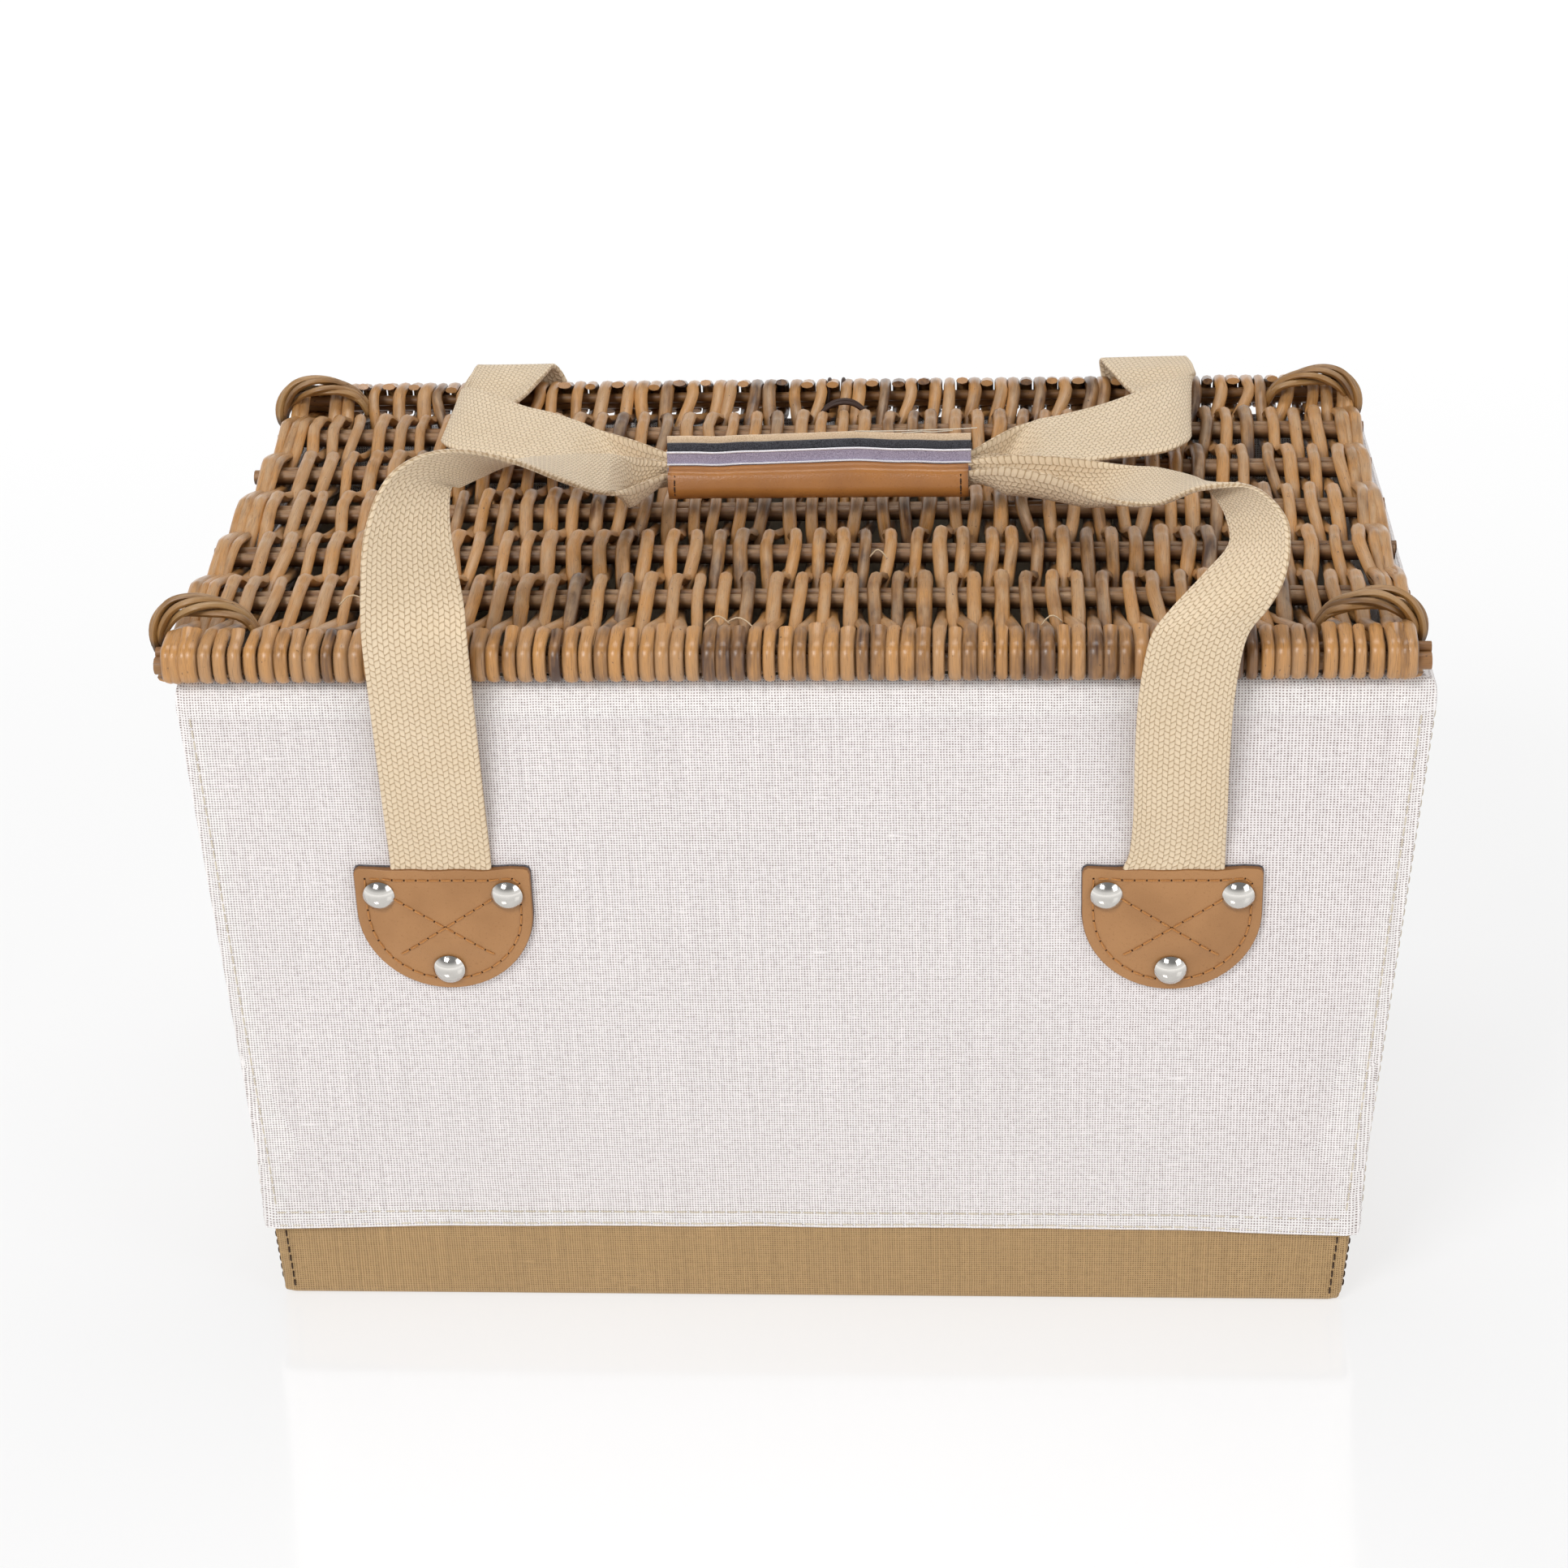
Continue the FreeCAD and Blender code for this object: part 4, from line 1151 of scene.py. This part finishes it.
def build_canvas():
    """The canvas body, with its underside and corner stitches."""
    edge_r = 5.0
    profile = [(7.0, 0.0)]
    profile += [(1.0 + edge_r * (1 - math.sin(t)), edge_r * 0.8 * (1 - math.cos(t)))
                for t in np.linspace(0.12, math.pi / 2, 7)]
    profile += [(1.0, z) for z in (8.0, 13.0, 19.0, 26.0, 33.0, 40.0, 60.0, 150.0, 250.0)]
    shape, rows = wall_band(profile, 6.5, canvas_offset, lambda u, z, inset, half: 0.5, 0.7)
    cap_underside(shape, rows)
    obj = thickened(shape.make("canvas_body", canvas_material, 60), 1.2)
    finished(obj, "basket", "canvas", "wall_canvas", "base_canvas")
    threads = Shape()
    for panel in range(4):
        for end in (-1, 1):
            for k in range(8):
                z = 5.0 + k * 4.0
                half = panel_half(panel, z)
                cloth = canvas_offset(panel, end * (half - 6.4), z, 1.0, half)
                line = [wall_point(panel, end * (half - 1.0 - 5.4), z + dz, 1.0, cloth + out)
                        for dz, out in ((0.3, 0.0), (0.9, 0.3), (1.7, 0.35), (2.5, 0.3), (3.1, 0.0))]
                threads.tube(line, [(0.33, 0.33)] * 5, along_panel(panel), 6)
    finished(threads.make("canvas_stitches", dark_thread_material), "basket", "canvas")


def build_lining():
    """The lining inside, its stitches, and the boards' material."""
    floor = 5.6
    inset = 6.15
    profile = [(inset + 8.0, floor), (inset + 4.0, floor + 0.25), (inset + 1.6, floor + 1.4),
               (inset + 0.3, floor + 3.8)]
    profile += [(inset, mix(14.0, RIM_Z - 9.0, k / 16)) for k in range(17)]

    def offset(panel, u, z, depth, half):
        return 0.35 * (wobble(u * 0.02, z * 0.02, panel * 4.4) - 0.6) * -1.0 - 0.5

    shape, rows = wall_band(profile, CORNER_R + 6.0, offset, lambda u, z, depth, half: 0.5, 0.0)
    cap_underside(shape, rows)
    # the lining faces inwards
    shape.faces = [tuple(reversed(f)) for f in shape.faces]
    shape.uvs = [list(reversed(uv)) for uv in shape.uvs]
    finished(thickened(shape.make("lining_cloth", lining_material, 60), 0.7), "basket", "lining", "lining")
    threads = Shape()
    for panel in range(4):
        z = RIM_Z - TURN_DOWN + 3.5
        half = panel_half(panel, z) - WALL_TOTAL - 6.0
        for k in range(int(2 * half / 4.5)):
            line = []
            for s, out in ((0.1, 0.0), (0.3, -0.35), (0.7, -0.35), (0.9, 0.0)):
                line.append(wall_point(panel, -half + (k + s) * 4.5, z, WALL_TOTAL + 0.2, out))
            threads.tube(line, [(0.3, 0.3)] * 4, (0, 0, 1), 6)
    finished(threads.make("lining_stitches", cream_thread_material), "basket", "lining")
    for name in ("front_board", "back_board", "left_board", "right_board", "base_board"):
        paint_node(name, board_material)


# ---------------------------------------------------------------- straps
# Webbing edge pairs from the fold to the grip: (outer edge, inner edge).  They start from the part's own
# pairs and differ from them by up to about 11 mm; the last ones follow the lengthwise fold into the grip.
FRONT_LEFT = [
    ((-149.0, -156.5, 315.0), (-114.5, -143.0, 309.0)),
    ((-144.5, -160.0, 342.0), (-118.0, -138.0, 334.0)),
    ((-137.5, -152.5, 358.5), (-119.0, -126.5, 345.5)),
    ((-126.5, -141.0, 364.0), (-117.5, -115.5, 342.5)),
    ((-113.0, -125.0, 360.0), (-113.5, -96.5, 339.0)),
    ((-97.5, -108.0, 349.0), (-103.0, -74.5, 336.5)),
    ((-83.5, -86.0, 333.0), (-87.0, -49.5, 329.0)),
    ((-71.5, -63.0, 319.0), (-73.0, -28.5, 321.5)),
    ((-61.0, -33.0, 311.5), (-61.5, -15.5, 315.0)),
    ((-53.5, -18.5, 309.5), (-53.5, -11.5, 312.0)),
    ((-45.0, -16.5, 308.0), (-45.0, -11.5, 309.5)),
]
FRONT_RIGHT = [
    ((170.0, -160.0, 312.0), (136.5, -146.5, 305.5)),
    ((175.0, -161.0, 323.5), (148.5, -137.5, 315.0)),
    ((177.0, -155.0, 334.0), (158.5, -127.0, 322.5)),
    ((175.5, -145.0, 341.5), (158.0, -115.0, 328.5)),
    ((165.5, -128.0, 345.0), (154.5, -96.0, 330.0)),
    ((149.0, -107.5, 336.5), (149.5, -72.0, 326.5)),
    ((133.0, -84.0, 321.0), (137.0, -49.5, 322.0)),
    ((115.0, -58.0, 314.5), (121.0, -32.0, 317.5)),
    ((100.0, -39.0, 314.5), (101.0, -19.0, 315.5)),
    ((80.0, -28.0, 315.0), (80.5, -14.0, 314.5)),
    ((66.5, -18.5, 310.0), (66.5, -11.5, 312.0)),
    ((58.0, -16.5, 308.0), (58.0, -11.5, 309.5)),
]
BACK_LEFT = [
    ((-151.5, 148.5, 296.5), (-117.0, 149.0, 296.5)),
    ((-152.0, 135.0, 298.5), (-120.0, 131.0, 298.5)),
    ((-152.5, 121.0, 299.0), (-127.0, 106.0, 297.5)),
    ((-152.0, 111.0, 300.0), (-138.5, 82.0, 298.0)),
    ((-151.0, 103.0, 302.5), (-150.0, 51.0, 299.0)),
    ((-146.0, 94.0, 306.0), (-149.0, 35.0, 303.0)),
    ((-136.0, 80.0, 308.5), (-141.5, 26.0, 303.5)),
    ((-119.0, 62.0, 309.0), (-127.5, 19.5, 304.0)),
    ((-104.0, 50.5, 309.5), (-110.0, 10.5, 304.5)),
    ((-86.0, 35.0, 309.0), (-89.0, 4.0, 305.5)),
    ((-68.0, 15.0, 311.0), (-69.0, -3.0, 310.0)),
    ((-54.0, 0.0, 311.5), (-54.0, -6.5, 311.0)),
    ((-45.0, -2.0, 309.0), (-45.0, -6.5, 309.0)),
]
BACK_RIGHT = [
    ((158.0, 148.5, 297.0), (120.5, 149.0, 296.5)),
    ((159.5, 135.0, 299.5), (124.0, 131.0, 298.5)),
    ((160.0, 122.0, 301.0), (132.0, 106.0, 298.0)),
    ((159.5, 112.0, 303.0), (144.0, 80.0, 298.5)),
    ((156.5, 102.0, 305.5), (153.5, 45.0, 300.0)),
    ((150.0, 92.0, 307.5), (149.0, 25.0, 303.0)),
    ((139.0, 79.0, 308.5), (139.0, 15.5, 303.5)),
    ((121.0, 60.5, 308.5), (124.0, 10.5, 304.0)),
    ((103.5, 46.0, 309.0), (105.5, 4.0, 304.5)),
    ((87.0, 31.0, 311.0), (89.0, 2.0, 307.5)),
    ((76.0, 14.0, 312.0), (76.0, -3.0, 311.0)),
    ((66.5, 0.0, 311.5), (66.5, -6.5, 311.0)),
    ((58.0, -2.0, 309.0), (58.0, -6.5, 309.0)),
]
RIBS = 19
SIDE_STEPS = RIBS * 3
SPLIT_Z = 262.0


def strap_section(outer, inner, along, grip_gap):
    """Centre line of the webbing's cross-section, its normals, and places across, for one station."""
    chord = inner - outer
    width = np.linalg.norm(chord)
    across = chord / width
    normal = np.cross(along, across)
    normal /= np.linalg.norm(normal)
    fold = smooth(41.0, 19.0, width)
    down = np.array((0, 0, -1.0)) + across * across[2]
    down -= along * np.dot(down, along)
    down /= np.linalg.norm(down) + 1e-9
    sag = min(mix(7.6, 12.5, smooth(2.0, 14.0, grip_gap)),
              math.sqrt(max(0.0, 2 * (STRAP_W / math.pi) ** 2 - width ** 2 / 4))) * fold
    centre = (outer + inner) / 2
    points = []
    for k in range(SIDE_STEPS + 1):
        s = -1 + 2 * k / SIDE_STEPS
        theta = s * math.pi / 2
        lateral = mix(s, math.sin(theta), fold) * width / 2
        depth = sag * math.cos(theta) ** 0.75 if abs(s) < 1 else 0.0
        points.append(centre + across * lateral + down * depth)
    points = np.array(points)
    tangents = np.gradient(points, axis=0)
    tangents /= np.linalg.norm(tangents, axis=1)[:, None]
    normals = np.cross(along, tangents)
    normals /= np.linalg.norm(normals, axis=1)[:, None]
    return points, normals


def strap_rings(pairs, seed):
    """One closed ring of points per station along the webbing, with the length along it."""
    line = through([tuple(o) + tuple(i) for o, i in pairs], 2.0)
    middle = (line[:, :3] + line[:, 3:]) / 2
    tangent = np.gradient(middle, axis=0)
    tangent /= np.linalg.norm(tangent, axis=1)[:, None]
    length = 0.0
    rings = []
    for i, row in enumerate(line):
        if i:
            length += np.linalg.norm(middle[i] - middle[i - 1])
        outer, inner = row[:3], row[3:]
        x = (outer[0] + inner[0]) / 2
        points, normals = strap_section(outer, inner, tangent[i], max(0.0, GRIP_X0 - x, x - GRIP_X1))
        ring, us = [], []
        for face in (1, -1):
            order = range(SIDE_STEPS + 1) if face == 1 else range(SIDE_STEPS, -1, -1)
            for k in order:
                s = -1 + 2 * k / SIDE_STEPS
                edge = smooth(1.0, 0.955, abs(s))
                rib = 0.10 * abs(math.sin(math.pi * k / 3.0))
                thick = STRAP_T / 2 * (0.45 + 0.55 * edge) - 0.1 + rib * edge
                crown = 0.25 * wobble(length * 0.03, seed) * (1 - s * s)
                ring.append(points[k] + normals[k] * (face * thick + crown))
                us.append((s + 1) / 2 * STRAP_W)
        rings.append((ring, us, length))
    return rings


def strap_shape(rings):
    """Closed webbing mesh from its rings."""
    shape = Shape()
    index = [[shape.vertex(p) for p in ring] for ring, _, _ in rings]
    count = len(rings[0][0])
    for i in range(len(rings) - 1):
        us = rings[i][1]
        v0, v1 = rings[i][2] * MM, rings[i + 1][2] * MM
        for k in range(count):
            m = (k + 1) % count
            a, b = us[k] * MM, us[m] * MM
            shape.face((index[i][k], index[i][m], index[i + 1][m], index[i + 1][k]),
                       [(a, v0), (b, v0), (b, v1), (a, v1)])
    shape.face(tuple(reversed(index[0])))
    shape.face(tuple(index[-1]))
    return shape


def wall_run(side, end):
    """Edge pairs from under the tab up the wall to the fold above the lid's edge."""
    sign = -1 if side == "front" else 1
    x = TAB_XS[end]
    reach = STRAP_W / 2 if end == "right" else -STRAP_W / 2
    lift = BACKING_T + STRAP_T / 2 + 0.1
    places = [(z, half_depth(z) + lift) for z in (166.0, 184.0, 198.0, SWING_Z + 2)]
    places += [(225.0, 143.6), (250.0, 147.0), (275.0, 150.4)]
    places.append((FOLD_Z - 2, FOLD_Y) if side == "front" else (287.0, 152.0))
    pairs = [((x + reach, sign * y, z), (x - reach, sign * y, z)) for z, y in places]
    if side == "front" and end == "right":
        # this run hangs a little askew: its inner edge is turned in and its top leans outwards
        pairs = [((o[0] + 5.0 * smooth(262.0, 312.0, o[2]), o[1], o[2]),
                  (i[0] + 4.0 * smooth(196.0, 212.0, i[2]) + 6.0 * smooth(262.0, 318.0, i[2]), i[1] - 0.5,
                   i[2]))
                 for o, i in pairs]
    return pairs


def build_straps():
    """Four straps, each in a lower and an upper piece."""
    runs = {"front": {"left": FRONT_LEFT, "right": FRONT_RIGHT}, "back": {"left": BACK_LEFT,
                                                                          "right": BACK_RIGHT}}
    for side, ends in runs.items():
        for end, pairs in ends.items():
            rings = strap_rings(wall_run(side, end) + pairs, len(side) * 7.1 + len(end) * 3.3)
            split = next(i for i, r in enumerate(rings) if r[0][0][2] > SPLIT_Z)
            lower = strap_shape(rings[:split + 1]).make(side + "_" + end + "_strap_lower", webbing_material,
                                                        60)
            upper = strap_shape(rings[split:]).make(side + "_" + end + "_strap_upper", webbing_material, 60)
            name = side + "_" + end
            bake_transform(lower)
            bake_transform(upper)
            finished(lower, None, "webbing", name + "_strap", name + "_strap_end")
            finished(upper, None, "webbing", side + "_handle_webbing")


# ---------------------------------------------------------------- grip
def leaf_profile(side):
    """Y, Z points of one leather leaf, from its top edge down, round the webbing and back to the middle."""
    out = -1 if side == "front" else 1
    depth = GRIP_HIGH.y - GRIP_LOW.y
    top = GRIP_HIGH.z + (-3.6 if side == "front" else 3.4)
    z0 = GRIP_LOW.z
    lean = 0.3 if side == "front" else 0.0
    return [(GRIP_Y + out * (2.9 + lean), top), (GRIP_Y + out * (5.2 + lean), top - 1.0),
            (GRIP_Y + out * 8.2, z0 + 10.5 + (0.0 if side == "front" else 1.5)),
            (GRIP_Y + out * (depth - 0.7), z0 + 8.0), (GRIP_Y + out * (depth + 0.2), z0 + 4.5),
            (GRIP_Y + out * (depth - 1.6), z0 + 1.6),
            (GRIP_Y + out * (depth - 5.2), z0 + 0.1), (GRIP_Y + out * 2.0, z0 + 0.1),
            (GRIP_Y + out * 0.6, z0 + 0.4)]


def sheet_along_x(profile, thickness, x0, x1, wave):
    """A thick strip with the given Y-Z profile, run along X, with rounded ends and a wavy shape."""
    shape = Shape()
    steps = 60
    base = through([(0, y, z) for y, z in profile], 0.8)[:, 1:]
    tangent = np.gradient(base, axis=0)
    tangent /= np.linalg.norm(tangent, axis=1)[:, None]
    normal = np.stack([-tangent[:, 1], tangent[:, 0]], axis=1)
    rows = []
    length = len(base)
    for i in range(steps + 1):
        x = mix(x0, x1, i / steps)
        row = []
        for face in (1, -1):
            order = range(length) if face == 1 else range(length - 1, -1, -1)
            for k in order:
                share = k / (length - 1)
                edge = 0.6 if k in (0, length - 1) else 1.0
                dy, dz, dx = wave(x, share)
                p = base[k] + normal[k] * (face * thickness / 2 * edge)
                vertex_tint_and_light = 0.6 if k == 0 or i in (0, steps) else 0.0
                row.append(shape.vertex((x + dx, p[0] + dy, p[1] + dz), (0, 0, 0), 0.5, vertex_tint_and_light))
        rows.append(row)
    count = len(rows[0])
    for low, high in zip(rows, rows[1:]):
        for k in range(count):
            m = (k + 1) % count
            shape.face((low[k], low[m], high[m], high[k]))
    for k in range(length - 1):
        a, b = rows[0], rows[-1]
        shape.face((a[k + 1], a[k], a[count - 1 - k], a[count - 2 - k]))
        shape.face((b[k], b[k + 1], b[count - 2 - k], b[count - 1 - k]))
    return shape


def top_wave(x):
    """The leaves' upper edges rise a little towards the middle and ripple."""
    middle = (x - (GRIP_X0 + GRIP_X1) / 2) / (GRIP_X1 - GRIP_X0)
    return 1.3 * math.exp(-((middle - 0.08) / 0.26) ** 2) + 0.5 * wobble(x * 0.07, 2.2)


def build_grip():
    """The two leather leaves of the grip, their tapes, edges, loose threads and stitches."""
    def leaf_wave(x, share):
        upper = smooth(0.45, 0.0, share)
        crease = 0.55 * wobble(x * 0.035, share * 2.4, 1.5)
        return (crease * 0.9, top_wave(x) * upper + 0.35 * wobble(x * 0.03, share * 2, 6.0) * (1 - upper),
                0.35 * wobble(share * 6, 3.3))

    def tape_wave(x, share):
        return (0.35 * wobble(x * 0.05, 8.8), top_wave(x), 0.0)

    def back_wave(x, share):
        upper = smooth(0.45, 0.0, share)
        return (0.3 * wobble(x * 0.04, share, 4.5) * (1 - upper) + 0.35 * wobble(x * 0.05, 8.8) * upper,
                top_wave(x) * upper, 0.0)

    front = sheet_along_x(leaf_profile("front"), 1.7, GRIP_X0, GRIP_X1, leaf_wave)
    back = sheet_along_x(leaf_profile("back"), 1.7, GRIP_X0 + 0.5, GRIP_X1 - 0.5, back_wave)
    finished(front.make("front_grip_leaf", grip_material, 50), "front_handle", "leather",
             "front_grip_leather")
    finished(back.make("back_grip_leaf", grip_material, 50), "back_handle", "leather", "back_grip_leather")
    z0 = GRIP_LOW.z
    tapes = [
        ("loop_tape", "front_handle", loop_material, -1.35, 3.0, 17.0, "loop_tape", "front_grip_tape"),
        ("hook_tape", "back_handle", hook_material, 0.75, 3.0, 19.8, "hook_tape", "back_grip_tape"),
        ("suede_face", "back_handle", suede_material, 2.0, 12.0, 22.2, "leather", None),
    ]
    for name, body, material, y, low, high, slot_name, replaced in tapes:
        profile = [(GRIP_Y + y - (0.5 if name == "loop_tape" else 0.0), z0 + high),
                   (GRIP_Y + y, z0 + high - 4.0), (GRIP_Y + y, z0 + low)]
        strip = sheet_along_x(profile, 1.1, GRIP_X0 - 0.8, GRIP_X1 + 1.0, tape_wave)
        obj = strip.make("grip_" + name, material, 50)
        finished(obj, body, slot_name, *([replaced] if replaced else []))
    edges = Shape()
    for dz in (0.1, -4.9):
        line = []
        for k in range(61):
            x = mix(GRIP_X0 - 0.9, GRIP_X1 + 1.1, k / 60)
            dy, lift, _ = tape_wave(x, 0.0)
            line.append((x, GRIP_Y - 2.35 + dy + (0.1 if dz < 0 else 0.0), z0 + 16.9 + dz + lift))
        edges.tube(line, [(0.5, 0.42)] * 61, (0, 1, 0), 8)
    finished(edges.make("grip_loop_tape_edges", white_edge_material), "front_handle", "loop_tape")
    frayed = Shape()
    for start, end, rise in ((-44.0, 3.5, 2.2), (-26.0, -6.0, 1.2)):
        keys = []
        for share in (0.0, 0.2, 0.4, 0.6, 0.8, 1.0):
            x = GRIP_X1 + mix(start, end, share)
            keys.append((x, GRIP_Y + 1.4 + 0.5 * wobble(x * 0.3), z0 + 22.5 + top_wave(x) + rise * share
                         + 0.3 * wobble(x * 0.2, 5.0)))
        line = through(keys, 1.2)
        frayed.tube(line, [(0.2, 0.2)] * len(line), (0, 1, 0), 6)
    finished(frayed.make("grip_frayed_threads", cream_thread_material), "back_handle", "leather")
    threads, holes = Shape(), Shape()
    pitch = 2.5
    for x in (GRIP_X0 + 2.6, GRIP_X1 - 2.9):
        crease = leaf_wave(x, 0.4)[0]
        for k in range(4):
            z_low = z0 + 1.8 + k * pitch
            line = []
            for s, out in ((0.12, -0.2), (0.3, 0.3), (0.6, 0.3), (0.75, -0.2)):
                z = z_low + s * pitch
                line.append((x, leaf_face_y(z) - out + crease, z))
            threads.tube(line, [(0.3, 0.3)] * 4, (1, 0, 0), 6)
            y = leaf_face_y(z_low) + crease
            # a dark disc at each needle hole is painted shade
            holes.tube([(x, y + 0.5, z_low), (x, y - 0.12, z_low)], [(0.36, 0.36)] * 2, (1, 0, 0), 8)
    finished(threads.make("front_grip_stitches", dark_thread_material), "front_handle", "leather")
    finished(holes.make("front_grip_needle_holes", needle_hole_shade_material), "front_handle", "leather")


def leaf_face_y(z):
    """Y of the front leaf's outer face at a height."""
    line = through([(0, y, h) for y, h in leaf_profile("front")[:6]], 0.4)
    nearest = min(line, key=lambda p: abs(p[2] - z))
    return nearest[1] - 0.85


# ---------------------------------------------------------------- stage, light, camera
def build_stage():
    """A pale glossy floor."""
    shape = Shape()
    reach = 9000.0
    ring = [shape.vertex((reach * math.cos(t), reach * math.sin(t), 0.0))
            for t in np.linspace(0, 2 * math.pi, 65)[:-1]]
    shape.face(ring)
    s = Shader("floor", roughness=0.1, specular=1.0)
    s.out.inputs["Emission Color"].default_value = (1.0, 1.0, 1.0, 1.0)
    s.out.inputs["Emission Strength"].default_value = 0.68
    mottled = s.noise(s.node("ShaderNodeTexCoord").outputs["Object"], 3.0, 2.0)
    floor = shape.make("studio_floor", s.done(s.blend(mottled, srgb(138, 138, 138), srgb(142, 142, 142))))


def area_light(name, location, aim, size, power):
    """One soft rectangular light aimed at a point."""
    data = bpy.data.lights.new(name, "AREA")
    data.shape = "RECTANGLE"
    data.size, data.size_y = size
    data.energy = power
    light = bpy.data.objects.new(name, data)
    bpy.context.scene.collection.objects.link(light)
    light.location = location
    light.rotation_euler = (Vector(aim) - Vector(location)).to_track_quat("-Z", "Y").to_euler()


def build_light():
    """A white world that dims upwards, and three area lights."""
    world = bpy.data.worlds.new("studio")
    world.use_nodes = True
    tree = world.node_tree
    background = tree.nodes["Background"]
    background.inputs["Color"].default_value = (1.0, 1.0, 1.0, 1.0)
    direction = tree.nodes.new("ShaderNodeTexCoord")
    split = tree.nodes.new("ShaderNodeSeparateXYZ")
    level = tree.nodes.new("ShaderNodeMapRange")
    for key, value in (("From Min", 0.15), ("From Max", 0.55), ("To Min", 1.08), ("To Max", 0.27)):
        level.inputs[key].default_value = value
    tree.links.new(direction.outputs["Generated"], split.inputs[0])
    tree.links.new(split.outputs["Z"], level.inputs["Value"])
    tree.links.new(level.outputs["Result"], background.inputs["Strength"])
    bpy.context.scene.world = world
    area_light("key", (-0.9, -1.7, 1.9), (0.0, 0.0, 0.2), (0.9, 0.7), 29.0)
    area_light("fill", (1.7, -1.2, 1.2), (0.0, 0.0, 0.2), (1.0, 1.0), 8.0)
    area_light("top", (0.0, 0.4, 2.2), (0.0, 0.0, 0.2), (1.5, 0.8), 16.0)
    bpy.context.scene.view_settings.view_transform = "Standard"


# The studio camera, from a numerical fit: its place in metres, its angles in radians,
# and its lens in millimetres.
CAMERA_PLACE = (0.076751, -1.221932, 0.770459)
CAMERA_PITCH, CAMERA_YAW, CAMERA_ROLL = 0.45873, -0.072636, -0.034291
CAMERA_LENS = 75.8


def build_camera():
    """The camera, built from its place and three angles."""
    data = bpy.data.cameras.new("camera")
    data.lens = CAMERA_LENS
    data.sensor_width = 36.0
    camera = bpy.data.objects.new("camera", data)
    bpy.context.scene.collection.objects.link(camera)
    forward = Vector((math.sin(CAMERA_YAW) * math.cos(CAMERA_PITCH), math.cos(CAMERA_YAW)
                      * math.cos(CAMERA_PITCH),
                      -math.sin(CAMERA_PITCH)))
    right = Vector((math.cos(CAMERA_YAW), -math.sin(CAMERA_YAW), 0.0))
    up = right.cross(forward)
    across = math.cos(CAMERA_ROLL) * right + math.sin(CAMERA_ROLL) * up
    above = -math.sin(CAMERA_ROLL) * right + math.cos(CAMERA_ROLL) * up
    turn = Matrix((across, above, -forward)).transposed().to_4x4()
    camera.matrix_world = Matrix.Translation(CAMERA_PLACE) @ turn
    bpy.context.scene.camera = camera


build_weavers()
build_stakes()
build_border_rods()
build_edge_rods()
build_corner_loops()
build_stray_fibres()
build_ties()
build_tabs()
build_linen()
build_canvas()
build_lining()
build_straps()
build_grip()
build_stage()
build_light()
build_camera()
